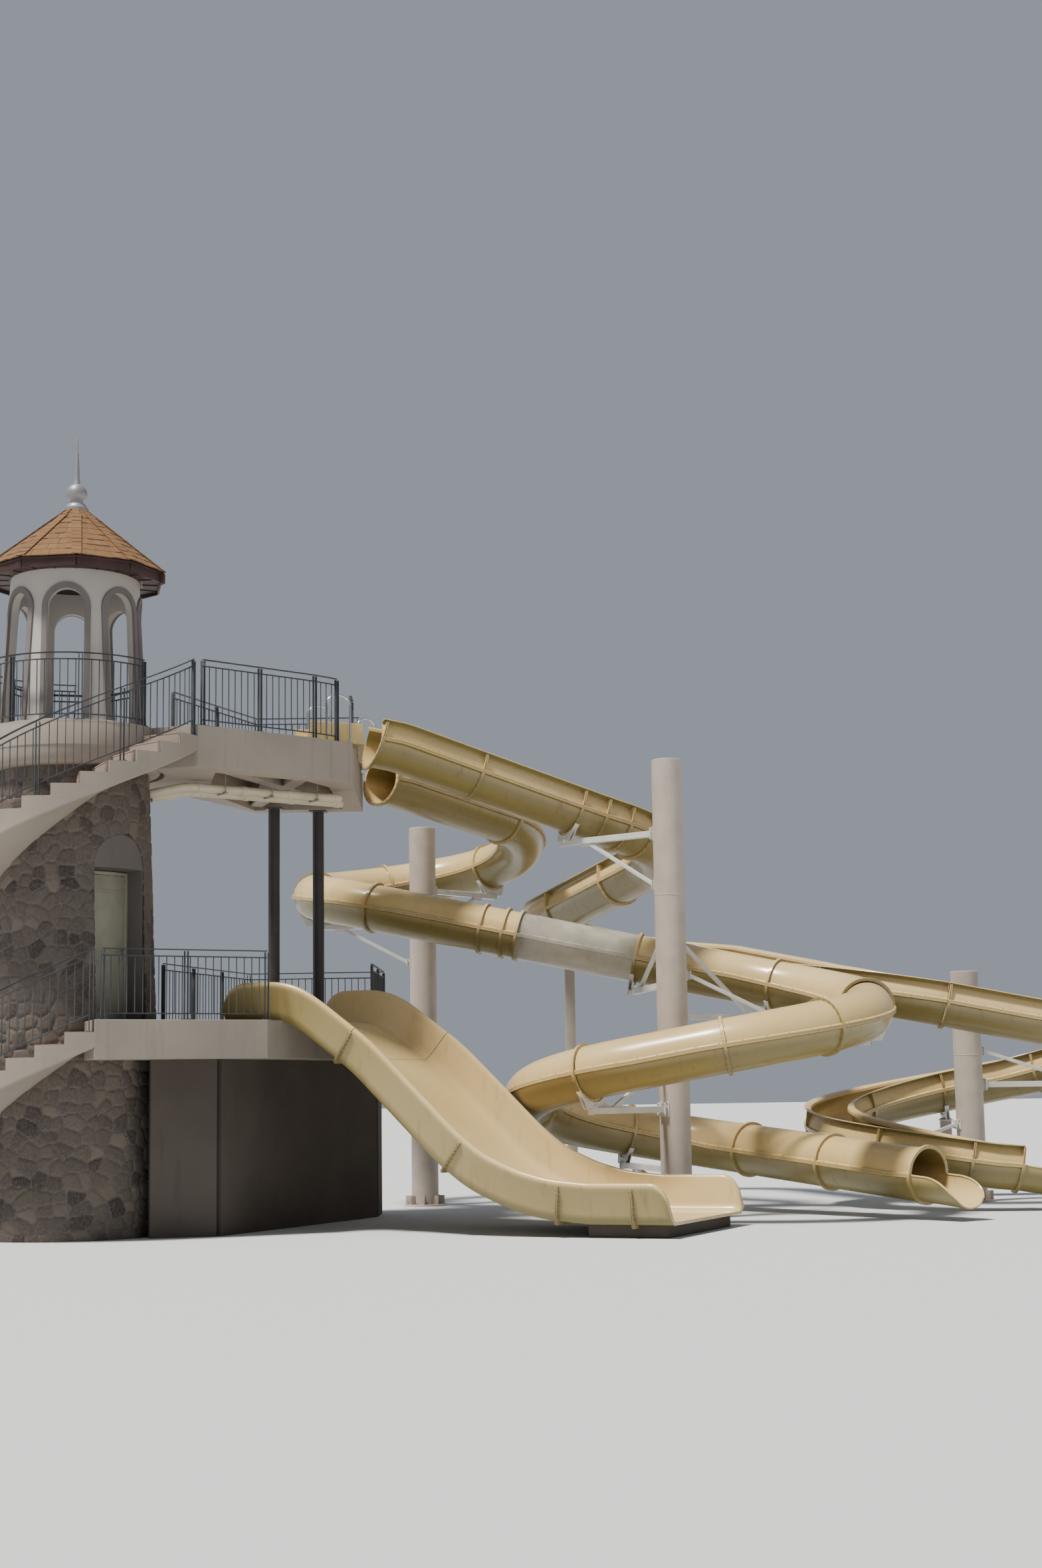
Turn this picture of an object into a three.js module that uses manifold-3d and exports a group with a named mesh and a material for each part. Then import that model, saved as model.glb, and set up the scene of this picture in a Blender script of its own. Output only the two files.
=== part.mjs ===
// Water slide tower: a round stone stair tower with a lantern, two platforms, two winding
// body slides and one wide family slide. Millimetres, +Z up, z = 0 at the pool's water.
import * as THREE from "three";
import { mergeVertices } from "three/addons/utils/BufferGeometryUtils.js";
import Module from "manifold-3d";

const wasm = await Module();
wasm.setup();

// Driving dimensions
const GAP = 0.3; // between pieces that are bolted or bedded together
const RISE = 180; // one stair riser
const STEP_ANGLE = 11.1; // one stair tread, in degrees about the tower's axis
const STAIR_RADIUS = 2190;
const STAIR_WAIST = 220;
const LOWER_FLOOR = 3180;
const UPPER_FLOOR = 7690;
const LOWER_TREADS = 16;
const UPPER_TREADS = 24;
const LOWER_ARRIVAL = 21.1; // bearing at which the lower flight reaches its platform
const UPPER_ARRIVAL = 70;
const LOWER_SLAB = 570;
const UPPER_SLAB = 650;
const DECK_THICKNESS = 200;
const RIB_DEPTH = 250;

const TOWER_AXIS = [-6980, -2450];
const DRUM_RADIUS = 1420; // at the water, with the batter taken up to the gallery
const DRUM_TOP_RADIUS = 1170;
const DRUM_WALL = 450;
const DRUM_SEAM = -48; // bearing at which the drum's halves meet
const GALLERY_UNDERSIDE = 7040;
const GALLERY_RADIUS = 1410;
const DOOR_BEARING = 50;
const DOOR_WIDTH = 950;
const DOOR_LEAF_HEIGHT = 2300;
const DOOR_SPRING = 2350; // springing of the arched head above the floor
const DOOR_SET_BACK = 460; // from the drum's face to the middle of the leaf
const TYMPANUM_INSET = 20;

const LANTERN_FOOT_RADIUS = 1130;
const LANTERN_HEAD_RADIUS = 1000;
const LANTERN_WALL = 140;
const LANTERN_TOP = 10060;
const ARCH_WIDTH = 570;
const ARCH_CROWN = 9800;
const ARCH_BEARINGS = [-46, 4, 55, 98, 142, 194, 252];
const LANTERN_SEAM = -16; // through a pier on either side
const EAVE_RADIUS = 1420;
const EAVE_SIDES = 10;
const EAVE_TURN = -6;
const FASCIA_HEIGHT = 165;
const CONE_TOP = 11300;
const FINIAL_TOP = 12500;

const COLUMN_RADIUS = 250;
const POST_SIZE = 200;
const ARM_SIZE = 110;

const FLUME_RADIUS = 430; // outside of the fibreglass, to the corners of its twelve sides
const FLUME_WALL = 22;
const FLUME_SIDES = 12;
const SEAM_REACH = 45; // bolted seam beyond the wall
const SEAM_HEIGHT = 70;
const LIP_HEIGHT = 325; // edge of an open flume above its seam
const JOINT_REACH = 52;
const JOINT_LENGTH = 50;
const BEND_STEP = 22.5; // degrees of a bend in one straight facet
const EXIT_LENGTH = 850;
const EXIT_SKIN = 30;
const EXIT_FLARE = 0.12; // growth of the radius over the trough's length
const EXIT_SWEEP = 96; // degrees of trough left at its lip
const CRADLE_THICKNESS = 70;
const CRADLE_CLEARANCE = 1;
const BRACE_REACH = 0.8; // share of an arm at which its brace meets it
const MIN_FACET = 150; // no facet of a flume is shorter
const SLOPE_REACH = 400; // the seam's height is evened out over this reach both ways
const TUB_LENGTH = 900;
const TUB_SETBACK = 320; // from the tub to the first joint of its slide

const FAMILY_WIDTH = 3300;
const FAMILY_WALL = 560;
const FAMILY_SKIN = 45;

const gelcoat = finish(0xd9c59a, 0.28);
const clearGelcoat = finish(0xc9c8c0, 0.2);
const plaster = finish(0xb5aba0, 0.85);
const stone = finish(0x8b7a66, 0.95);
const shingle = finish(0xa9814c, 0.9);
const fascia = finish(0x5b3b33, 0.6);
const silver = finish(0xb9bcc0, 0.35, 0.9);
const railSteel = finish(0x39414c, 0.5, 0.6);
const darkSteel = finish(0x2e2c2b, 0.55, 0.5);
const columnSteel = finish(0xa79d93, 0.6);
const doorPaint = finish(0xcdbf9e, 0.6);

function finish(color, roughness, metalness = 0) {
  return new THREE.MeshStandardMaterial({ color, roughness, metalness });
}

// Solids
function solidOf(geometry) {
  const bare = geometry.index ? geometry.toNonIndexed() : geometry.clone();
  bare.deleteAttribute("normal");
  bare.deleteAttribute("uv");
  const merged = mergeVertices(bare, 1e-3);
  return new wasm.Manifold(
    new wasm.Mesh({
      numProp: 3,
      vertProperties: new Float32Array(merged.attributes.position.array),
      triVerts: new Uint32Array(merged.index.array),
    }),
  );
}

function geometryOf(solid) {
  const mesh = solid.getMesh();
  const geometry = new THREE.BufferGeometry();
  geometry.setAttribute(
    "position",
    new THREE.BufferAttribute(new Float32Array(mesh.vertProperties), 3),
  );
  geometry.setIndex(new THREE.BufferAttribute(new Uint32Array(mesh.triVerts), 1));
  geometry.computeVertexNormals();
  return geometry;
}

function joined(geometries) {
  return geometries.map(solidOf).reduce((all, solid) => all.add(solid));
}

function reshaped(geometry, place) {
  const position = geometry.attributes.position;
  const point = new THREE.Vector3();
  for (let i = 0; i < position.count; i += 1) {
    point.fromBufferAttribute(position, i);
    const placed = place(point);
    position.setXYZ(i, placed[0], placed[1], placed[2]);
  }
  return geometry;
}

function piece(name, shape, material, parent) {
  const geometry = shape.isBufferGeometry ? shape : geometryOf(shape);
  const mesh = new THREE.Mesh(geometry, material);
  mesh.name = name;
  parent.add(mesh);
  return mesh;
}

// A point about the tower's axis: bearing 0 faces the pool and grows to the right.
function polar(bearing, radius) {
  const turn = THREE.MathUtils.degToRad(bearing);
  return [radius * Math.sin(turn), -radius * Math.cos(turn)];
}

// A curved block: radii and heights are given by functions of the bearing and of each other.
function curvedBlock(from, to, facets, shapeAt) {
  const box = new THREE.BoxGeometry(1, 1, 1, 1, facets, 1);
  return reshaped(box, (p) => {
    const bearing = THREE.MathUtils.lerp(from, to, p.y + 0.5);
    const { z, inner, outer } = shapeAt(bearing, p.z > 0);
    const [x, y] = polar(bearing, p.x > 0 ? outer : inner);
    return [x, y, z];
  });
}

function box(width, depth, height, x, y, z) {
  return new THREE.BoxGeometry(width, depth, height).translate(x, y, z + height / 2);
}

function upright(radius, bottom, top, x, y, sides = 16) {
  return new THREE.CylinderGeometry(radius, radius, top - bottom, sides)
    .rotateX(Math.PI / 2)
    .translate(x, y, (bottom + top) / 2);
}

// A square bar between two points.
function bar(from, to, size) {
  const a = new THREE.Vector3(...from);
  const b = new THREE.Vector3(...to);
  const length = a.distanceTo(b);
  const frame = new THREE.Object3D();
  frame.up.set(0, 0, 1);
  if (Math.abs(b.z - a.z) > 0.98 * length) frame.up.set(0, 1, 0);
  frame.position.copy(a).lerp(b, 0.5);
  frame.lookAt(b);
  frame.updateMatrix();
  return new THREE.BoxGeometry(size, size, length).applyMatrix4(frame.matrix);
}

function slab(outline, bottom, top) {
  const shape = new THREE.Shape(outline.map(([x, y]) => new THREE.Vector2(x, y)));
  return new THREE.ExtrudeGeometry(shape, { depth: top - bottom, bevelEnabled: false }).translate(
    0,
    0,
    bottom,
  );
}

function archShape(width, spring, foot = 0) {
  const half = width / 2;
  const shape = new THREE.Shape();
  shape.moveTo(-half, foot);
  shape.lineTo(half, foot);
  shape.lineTo(half, spring);
  shape.absarc(0, spring, half, 0, Math.PI, false);
  shape.closePath();
  return shape;
}

// An arched block that stands on a bearing, from one radius out to another.
function archBlock(bearing, width, spring, from, to, floor, foot = 0) {
  const depth = to - from;
  return new THREE.ExtrudeGeometry(archShape(width, spring, foot), {
    depth,
    bevelEnabled: false,
    curveSegments: 4,
  })
    .rotateX(Math.PI / 2)
    .translate(0, -from, floor)
    .rotateZ(THREE.MathUtils.degToRad(bearing));
}

// Tower
const drumRadiusAt = (z) =>
  THREE.MathUtils.mapLinear(z, 0, GALLERY_UNDERSIDE, DRUM_RADIUS, DRUM_TOP_RADIUS);
const lanternRadiusAt = (z) =>
  THREE.MathUtils.mapLinear(z, UPPER_FLOOR, LANTERN_TOP, LANTERN_FOOT_RADIUS, LANTERN_HEAD_RADIUS);

function wallHalf(from, bottom, top, radiusAt, thickness, facets) {
  const seam = 0.02;
  return solidOf(
    curvedBlock(from + seam, from + 180 - seam, facets, (bearing, upper) => {
      const z = upper ? top : bottom;
      return { z, inner: radiusAt(z) - thickness, outer: radiusAt(z) };
    }),
  );
}

function buildDrum(tower) {
  const doorHole = solidOf(
    archBlock(DOOR_BEARING, DOOR_WIDTH, DOOR_SPRING, 700, 1700, LOWER_FLOOR),
  );
  const top = GALLERY_UNDERSIDE - GAP;
  const doorSide = wallHalf(DRUM_SEAM, 0, top, drumRadiusAt, DRUM_WALL, 15);
  piece("drum_wall_door_side", doorSide.subtract(doorHole), stone, tower);
  const farSide = wallHalf(DRUM_SEAM + 180, 0, top, drumRadiusAt, DRUM_WALL, 15);
  piece("drum_wall_far_side", farSide, stone, tower);

  const inner = drumRadiusAt(LOWER_FLOOR) - DRUM_WALL;
  const floorRadius = inner * Math.cos(Math.PI / 30) - 1;
  piece(
    "door_level_floor",
    upright(floorRadius, LOWER_FLOOR - 180, LOWER_FLOOR - GAP, 0, 0, 30),
    plaster,
    tower,
  );

  const face = drumRadiusAt(LOWER_FLOOR + DOOR_SPRING) - DOOR_SET_BACK;
  const leafWidth = DOOR_WIDTH - 2 * GAP;
  const leaf = box(leafWidth, 50, DOOR_LEAF_HEIGHT, 0, -face, LOWER_FLOOR + GAP);
  leaf.rotateZ(THREE.MathUtils.degToRad(DOOR_BEARING));
  piece("door_leaf", leaf, doorPaint, tower);
  const head = archBlock(
    DOOR_BEARING,
    leafWidth,
    DOOR_SPRING,
    face - 25,
    DRUM_RADIUS,
    LOWER_FLOOR,
    DOOR_LEAF_HEIGHT + 2 * GAP,
  );
  const insetRadiusAt = (z) => drumRadiusAt(z) - TYMPANUM_INSET;
  const curve = wallHalf(DRUM_SEAM, 0, top, insetRadiusAt, 1000, 15);
  piece("door_tympanum", solidOf(head).intersect(curve), plaster, tower);
}

function buildGallery(tower) {
  const profile = [
    [0, GALLERY_UNDERSIDE + 250],
    [850, GALLERY_UNDERSIDE + 250],
    [850, GALLERY_UNDERSIDE],
    [GALLERY_RADIUS - 110, GALLERY_UNDERSIDE],
    [GALLERY_RADIUS - 40, GALLERY_UNDERSIDE + 60],
    [GALLERY_RADIUS, GALLERY_UNDERSIDE + 250],
    [GALLERY_RADIUS, UPPER_FLOOR],
    [0, UPPER_FLOOR],
  ];
  const points = profile.map(([r, z]) => new THREE.Vector2(r, z));
  const ring = new THREE.LatheGeometry(points, 32).rotateX(Math.PI / 2);
  piece("gallery_slab", ring, plaster, tower);
}

function buildLantern(tower) {
  const spring = ARCH_CROWN - ARCH_WIDTH / 2 - UPPER_FLOOR;
  const holes = ARCH_BEARINGS.map((bearing) =>
    solidOf(archBlock(bearing, ARCH_WIDTH, spring, 700, 1400, UPPER_FLOOR, 60)),
  );
  ["right", "left"].forEach((side, i) => {
    const from = LANTERN_SEAM + i * 180;
    const wall = wallHalf(
      from,
      UPPER_FLOOR + GAP,
      LANTERN_TOP,
      lanternRadiusAt,
      LANTERN_WALL,
      16,
    );
    const cut = holes.reduce((left, hole) => left.subtract(hole), wall);
    piece("lantern_wall_" + side, cut, plaster, tower);
  });
}

function decagon(radiusLow, radiusHigh, bottom, top) {
  return new THREE.CylinderGeometry(radiusHigh, radiusLow, top - bottom, EAVE_SIDES)
    .rotateX(Math.PI / 2)
    .rotateZ(THREE.MathUtils.degToRad(EAVE_TURN))
    .translate(0, 0, (bottom + top) / 2);
}

function buildRoof(tower) {
  const foot = LANTERN_TOP + GAP;
  const board = solidOf(decagon(EAVE_RADIUS, EAVE_RADIUS, foot, foot + FASCIA_HEIGHT));
  piece("roof_fascia", board, fascia, tower);
  const coneFoot = foot + FASCIA_HEIGHT + GAP;
  const cone = decagon(EAVE_RADIUS + 25, 110, coneFoot, CONE_TOP);
  piece("roof_shingles", solidOf(cone), shingle, tower);
  const finialProfile = [
    [0, CONE_TOP + GAP],
    [150, CONE_TOP + GAP],
    [130, CONE_TOP + 60],
    [60, CONE_TOP + 120],
    [110, CONE_TOP + 180],
    [155, CONE_TOP + 270],
    [110, CONE_TOP + 360],
    [55, CONE_TOP + 410],
    [14, FINIAL_TOP - 350],
    [9, FINIAL_TOP],
    [0, FINIAL_TOP],
  ];
  const points = finialProfile.map(([r, z]) => new THREE.Vector2(r, z));
  const finial = new THREE.LatheGeometry(points, 12).rotateX(Math.PI / 2);
  piece("roof_finial", finial, silver, tower);
}

// Stairs
function flight(arrival, floor, treads, innerAt) {
  const parts = [];
  for (let k = 1; k <= treads; k += 1) {
    const high = arrival - STEP_ANGLE * (k - 1) + (k === 1 ? -0.02 : 0.2);
    const low = arrival - STEP_ANGLE * k;
    const tread = floor - RISE * k;
    parts.push(
      curvedBlock(low, high, 1, (bearing, upper) => {
        const nosing = floor - (RISE * (arrival - bearing)) / STEP_ANGLE;
        const soffit = nosing - RISE - STAIR_WAIST;
        const z = upper ? tread : Math.max(0, soffit);
        return { z, inner: innerAt(k), outer: STAIR_RADIUS };
      }),
    );
  }
  return joined(parts);
}

function buildStairs(tower) {
  const clear = 1 / Math.cos(THREE.MathUtils.degToRad(STEP_ANGLE / 2));
  const lowerInner = (k) => drumRadiusAt(Math.max(0, LOWER_FLOOR - RISE * k - 620)) * clear + 1;
  const upperInner = (k) =>
    k <= 4
      ? GALLERY_RADIUS * clear + 1
      : drumRadiusAt(UPPER_FLOOR - RISE * k - 620) * clear + 1;
  const lower = flight(LOWER_ARRIVAL, LOWER_FLOOR, LOWER_TREADS, lowerInner);
  piece("lower_stair", lower, plaster, tower);
  const upper = flight(UPPER_ARRIVAL, UPPER_FLOOR, UPPER_TREADS, upperInner);
  piece("upper_stair", upper, plaster, tower);
}

// Railings: posts, two handrails and a bottom rail
const RAIL_HEIGHTS = [1030, 940, 90];
const RAIL_SIZES = [45, 30, 30];
const RAIL_POST = 50;
const RAIL_INSET = 60;
const POST_TREADS = 3; // treads from one stair post to the next

function curvedRailing(radius, from, to, posts, levelAt) {
  const parts = [];
  const over = 0.4; // rails run this far past the end posts' middles
  RAIL_HEIGHTS.forEach((height, i) => {
    const half = RAIL_SIZES[i] / 2;
    parts.push(
      curvedBlock(from - over, to + over, 2 * (posts - 1), (bearing, upper) => ({
        z: levelAt(bearing) + height + (upper ? half : -half),
        inner: radius - half,
        outer: radius + half,
      })),
    );
  });
  for (let i = 0; i < posts; i += 1) {
    const bearing = THREE.MathUtils.lerp(from, to, i / (posts - 1));
    const [x, y] = polar(bearing, radius);
    const foot = levelAt(bearing, true);
    const top = levelAt(bearing) + RAIL_HEIGHTS[0];
    const post = box(RAIL_POST, RAIL_POST, top - foot, 0, 0, 0);
    post.rotateZ(THREE.MathUtils.degToRad(bearing)).translate(x, y, foot);
    parts.push(post);
  }
  return joined(parts);
}

function straightRailing(corners, floor, postPitch = 1300) {
  const parts = [];
  for (let i = 1; i < corners.length; i += 1) {
    const [a, b] = [corners[i - 1], corners[i]];
    const length = Math.hypot(b[0] - a[0], b[1] - a[1]);
    const bays = Math.max(1, Math.round(length / postPitch));
    for (let k = i === 1 ? 0 : 1; k <= bays; k += 1) {
      const x = THREE.MathUtils.lerp(a[0], b[0], k / bays);
      const y = THREE.MathUtils.lerp(a[1], b[1], k / bays);
      const post = box(RAIL_POST, RAIL_POST, RAIL_HEIGHTS[0] + 20 - GAP, 0, 0, floor + GAP);
      post.rotateZ(Math.atan2(b[1] - a[1], b[0] - a[0])).translate(x, y, 0);
      parts.push(post);
    }
    RAIL_HEIGHTS.forEach((height, j) => {
      parts.push(bar([...a, floor + height], [...b, floor + height], RAIL_SIZES[j]));
    });
  }
  return joined(parts);
}

function stairRailing(arrival, floor, posts) {
  const level = (bearing, onTread) => {
    const steps = (arrival - bearing) / STEP_ANGLE;
    return onTread ? floor - RISE * Math.ceil(steps) + GAP : floor - RISE * steps;
  };
  const top = arrival - STEP_ANGLE / 2;
  const foot = top - STEP_ANGLE * POST_TREADS * (posts - 1);
  return curvedRailing(STAIR_RADIUS - RAIL_INSET, foot, top, posts, level);
}

function buildCurvedRailings(tower) {
  const lower = stairRailing(LOWER_ARRIVAL, LOWER_FLOOR, 6);
  piece("lower_stair_railing", lower, railSteel, tower);
  const upper = stairRailing(UPPER_ARRIVAL, UPPER_FLOOR, 8);
  piece("upper_stair_railing", upper, railSteel, tower);
  const gallery = curvedRailing(GALLERY_RADIUS - 45, -170, 62, 6, () => UPPER_FLOOR + GAP);
  piece("gallery_railing", gallery, railSteel, tower);
}

// Platforms
const onSite = (bearing, radius) => {
  const [x, y] = polar(bearing, radius);
  return [TOWER_AXIS[0] + x, TOWER_AXIS[1] + y];
};
const UPPER_DECK = [
  onSite(UPPER_ARRIVAL, GALLERY_RADIUS - 300),
  onSite(UPPER_ARRIVAL, STAIR_RADIUS),
  [-3230, -1770],
  [-2720, -1190],
  [-2820, 2400],
  [-4700, 2400],
  onSite(150, 2300),
  onSite(150, GALLERY_RADIUS - 300),
];
const UPPER_POCKET = [
  [-4750, -2500],
  [-3450, -1450],
  [-3150, -700],
  [-3150, 2050],
  [-4700, 2050],
  [-5200, -300],
];
const LOWER_DECK = [
  onSite(LOWER_ARRIVAL, 1000),
  onSite(LOWER_ARRIVAL, STAIR_RADIUS),
  [-3840, -3280],
  [-2450, 30],
  [-2450, 2900],
  [-4900, 2900],
  onSite(152, STAIR_RADIUS),
  onSite(152, 1000),
];

function buildPlatforms(site) {
  const [tx, ty] = TOWER_AXIS;
  const aroundGallery = upright(GALLERY_RADIUS + GAP, 6000, 9000, tx, ty, 32);
  const upper = solidOf(slab(UPPER_DECK, UPPER_FLOOR - UPPER_SLAB, UPPER_FLOOR)).subtract(
    solidOf(aroundGallery),
  );
  const underside = UPPER_FLOOR - UPPER_SLAB;
  const pocket = solidOf(slab(UPPER_POCKET, underside - 100, UPPER_FLOOR - DECK_THICKNESS));
  const ribs = [
    [UPPER_POCKET[0], UPPER_POCKET[3]],
    [UPPER_POCKET[1], UPPER_POCKET[4]],
  ].map(([from, to]) => {
    const level = underside + RIB_DEPTH / 2 + 60;
    return bar([...from, level], [...to, level], RIB_DEPTH);
  });
  piece("upper_platform", upper.subtract(pocket).add(joined(ribs)), plaster, site);

  const drumRadius = drumRadiusAt(LOWER_FLOOR - LOWER_SLAB) + GAP;
  const aroundDrum = upright(drumRadius, 2000, 4000, tx, ty, 30);
  const lower = solidOf(slab(LOWER_DECK, LOWER_FLOOR - LOWER_SLAB, LOWER_FLOOR));
  piece("lower_platform", lower.subtract(solidOf(aroundDrum)), plaster, site);

  const wallTop = LOWER_FLOOR - LOWER_SLAB - GAP;
  const walls = [
    [-5600, -3250],
    [-4650, -2975],
    [-2640, 1600],
    [-2640, 2600],
    [-4700, 2600],
  ];
  const runs = walls.slice(1).map((to, i) => straightWall(walls[i], to, 220, 0, wallTop));
  piece("undercroft_wall", joined(runs), plaster, site);
  const columnTop = UPPER_FLOOR - UPPER_SLAB - GAP;
  const columns = [
    ["left", -4330, 1800],
    ["right", -3600, 2250],
  ];
  for (const [side, x, y] of columns) {
    const shaft = upright(100, LOWER_FLOOR + GAP, columnTop, x, y, 12);
    piece("deck_column_" + side, shaft, darkSteel, site);
  }
}

// A straight wall between two points of the plan.
function straightWall(from, to, thickness, bottom, top) {
  const length = Math.hypot(to[0] - from[0], to[1] - from[1]);
  const wall = box(length, thickness, top - bottom, 0, 0, bottom);
  wall.rotateZ(Math.atan2(to[1] - from[1], to[0] - from[0]));
  return wall.translate((from[0] + to[0]) / 2, (from[1] + to[1]) / 2, 0);
}

function inset(corner, towards, distance) {
  const a = new THREE.Vector2(...corner);
  const b = new THREE.Vector2(...towards);
  const moved = a.add(b.sub(a).setLength(distance));
  return [moved.x, moved.y];
}

function buildPlatformRailings(site) {
  const upperMiddle = [-4600, 300];
  const lowerMiddle = [-4600, -600];
  const edge = (deck, corners, middle) => corners.map((i) => inset(deck[i], middle, 90));
  const front = edge(UPPER_DECK, [1, 2, 3], upperMiddle);
  front[0] = inset(front[0], front[1], 60);
  front[2] = inset(front[2], front[1], 260);
  piece("upper_railing_front", straightRailing(front, UPPER_FLOOR), railSteel, site);
  const between = [
    [-2860, 200],
    [-2870, 700],
  ];
  piece("upper_railing_side", straightRailing(between, UPPER_FLOOR), railSteel, site);
  const back = edge(UPPER_DECK, [4, 5, 6], upperMiddle);
  piece("upper_railing_back", straightRailing(back, UPPER_FLOOR), railSteel, site);
  const lowerFront = edge(LOWER_DECK, [1, 2], lowerMiddle);
  lowerFront[0] = inset(lowerFront[0], lowerFront[1], 60);
  piece("lower_railing_front", straightRailing(lowerFront, LOWER_FLOOR), railSteel, site);
  const lowerBack = [[-2540, 450], ...edge(LOWER_DECK, [4, 5, 6], lowerMiddle)];
  piece("lower_railing_back", straightRailing(lowerBack, LOWER_FLOOR), railSteel, site);
}

// Slide routes: corners of the plan with the height of the side seam at the middle of each
// bend, joined by arcs.
function makeRoute(corners) {
  const runs = [];
  const stops = [[0, corners[0].seam]];
  let at = new THREE.Vector2(...corners[0].xy);
  let station = 0;
  for (let i = 1; i < corners.length; i += 1) {
    const here = new THREE.Vector2(...corners[i].xy);
    const ahead = here.clone().sub(new THREE.Vector2(...corners[i - 1].xy)).normalize();
    const radius = corners[i].radius ?? 0;
    let turn = 0;
    let begin = here;
    if (radius > 0) {
      const next = new THREE.Vector2(...corners[i + 1].xy).sub(here).normalize();
      turn = Math.atan2(ahead.cross(next), ahead.dot(next));
      begin = here.clone().addScaledVector(ahead, -radius * Math.tan(Math.abs(turn) / 2));
    }
    const length = Math.max(0, begin.clone().sub(at).dot(ahead));
    runs.push({ station, length, from: at, heading: Math.atan2(ahead.y, ahead.x), curve: 0 });
    station += length;
    if (radius > 0) {
      const arc = Math.abs(turn) * radius;
      const heading = Math.atan2(ahead.y, ahead.x);
      const curve = Math.sign(turn) / radius;
      runs.push({ station, length: arc, from: begin, heading, curve });
      stops.push([station + arc / 2, corners[i].seam]);
      station += arc;
      at = pointOnRun(runs[runs.length - 1], arc);
    } else {
      stops.push([station, corners[i].seam]);
      at = here;
    }
  }
  return { runs, stops, length: station };
}

function pointOnRun(run, along) {
  const { from, heading, curve } = run;
  if (curve === 0) {
    return new THREE.Vector2(
      from.x + along * Math.cos(heading),
      from.y + along * Math.sin(heading),
    );
  }
  const end = heading + along * curve;
  return new THREE.Vector2(
    from.x + (Math.sin(end) - Math.sin(heading)) / curve,
    from.y - (Math.cos(end) - Math.cos(heading)) / curve,
  );
}

function seamHeight(route, station) {
  const { stops } = route;
  let i = 1;
  while (i < stops.length - 1 && station > stops[i][0]) i += 1;
  const [a, b] = [stops[i - 1], stops[i]];
  return THREE.MathUtils.mapLinear(station, a[0], b[0], a[1], b[1]);
}

function frameAt(route, station) {
  const run = route.runs.findLast((r) => r.length > 0 && station >= r.station) ?? route.runs[0];
  const along = station - run.station;
  const plan = pointOnRun(run, along);
  const heading = run.heading + along * run.curve;
  const before = Math.max(0, station - SLOPE_REACH);
  const after = Math.min(route.length, station + SLOPE_REACH);
  const drop = seamHeight(route, after) - seamHeight(route, before);
  const slope = Math.atan2(drop, after - before);
  const forward = new THREE.Vector3(Math.cos(heading), Math.sin(heading), 0);
  const left = new THREE.Vector3(-forward.y, forward.x, 0);
  const up = new THREE.Vector3(0, 0, 1)
    .multiplyScalar(Math.cos(slope))
    .addScaledVector(forward, -Math.sin(slope));
  const middle = (seamHeight(route, after) + seamHeight(route, before)) / 2;
  return { centre: new THREE.Vector3(plan.x, plan.y, middle), left, up, forward };
}

// The stations at which a stretch of the route needs a new facet.
function stationsOf(route, from, to) {
  const list = [from];
  for (const run of route.runs) {
    const turn = THREE.MathUtils.radToDeg(Math.abs(run.curve) * run.length);
    const facets = run.curve === 0 ? 1 : Math.ceil(turn / BEND_STEP);
    for (let k = 0; k <= facets; k += 1) {
      const station = run.station + (run.length * k) / facets;
      const clear = station > list[list.length - 1] + MIN_FACET && station < to - MIN_FACET;
      if (clear) list.push(station);
    }
  }
  list.push(to);
  return list;
}

// A section drawn with x to the rider's left and y up, drawn out along the route.
function alongRoute(route, section, from, to) {
  const stations = stationsOf(route, from, to);
  const steps = stations.length - 1;
  const frames = stations.map((station) => frameAt(route, station));
  const run = new THREE.ExtrudeGeometry(section, { depth: 1, steps, bevelEnabled: false });
  return reshaped(run, (p) => {
    const { centre, left, up } = frames[Math.round(p.z * steps)];
    const placed = centre.clone().addScaledVector(left, p.x).addScaledVector(up, p.y);
    return placed.toArray();
  });
}

function corner(index, radius) {
  const turn = (2 * Math.PI * (index + 0.5)) / FLUME_SIDES;
  return [radius * Math.cos(turn), radius * Math.sin(turn)];
}

function pathOf(points) {
  return new THREE.Path(points.map(([x, y]) => new THREE.Vector2(x, y)));
}

function shapeOf(points) {
  return new THREE.Shape(points.map(([x, y]) => new THREE.Vector2(x, y)));
}

const wallFace = FLUME_RADIUS * Math.cos(Math.PI / FLUME_SIDES);
const seamTab = (side) => [
  [side * wallFace, (-side * SEAM_HEIGHT) / 2],
  [side * (wallFace + SEAM_REACH), (-side * SEAM_HEIGHT) / 2],
  [side * (wallFace + SEAM_REACH), (side * SEAM_HEIGHT) / 2],
  [side * wallFace, (side * SEAM_HEIGHT) / 2],
];

function ringOf(radius) {
  return Array.from({ length: FLUME_SIDES }, (_, i) => corner(i, radius));
}

function closedSection() {
  const outline = [];
  const upper = ringOf(FLUME_RADIUS).slice(0, FLUME_SIDES / 2);
  const lower = ringOf(FLUME_RADIUS).slice(FLUME_SIDES / 2);
  outline.push(...upper, ...seamTab(-1), ...lower, ...seamTab(1));
  const shape = shapeOf(outline);
  shape.holes.push(pathOf(ringOf(FLUME_RADIUS - FLUME_WALL).reverse()));
  return shape;
}

const mirrored = (points) => points.map(([x, y]) => [-x, y]).reverse();

// The upper walls of an open flume lean in and end in a flared lip.
const OPEN_SIDE = [
  [FLUME_RADIUS * 0.966, FLUME_RADIUS * 0.259],
  [FLUME_RADIUS * 0.777, FLUME_RADIUS * 0.629],
  [FLUME_RADIUS * 0.99, LIP_HEIGHT],
];
const OPEN_INSIDE = [
  [FLUME_RADIUS * 0.965, LIP_HEIGHT + 18],
  [FLUME_RADIUS * 0.709, FLUME_RADIUS * 0.648],
  [FLUME_RADIUS * 0.914, FLUME_RADIUS * 0.247],
];

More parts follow.
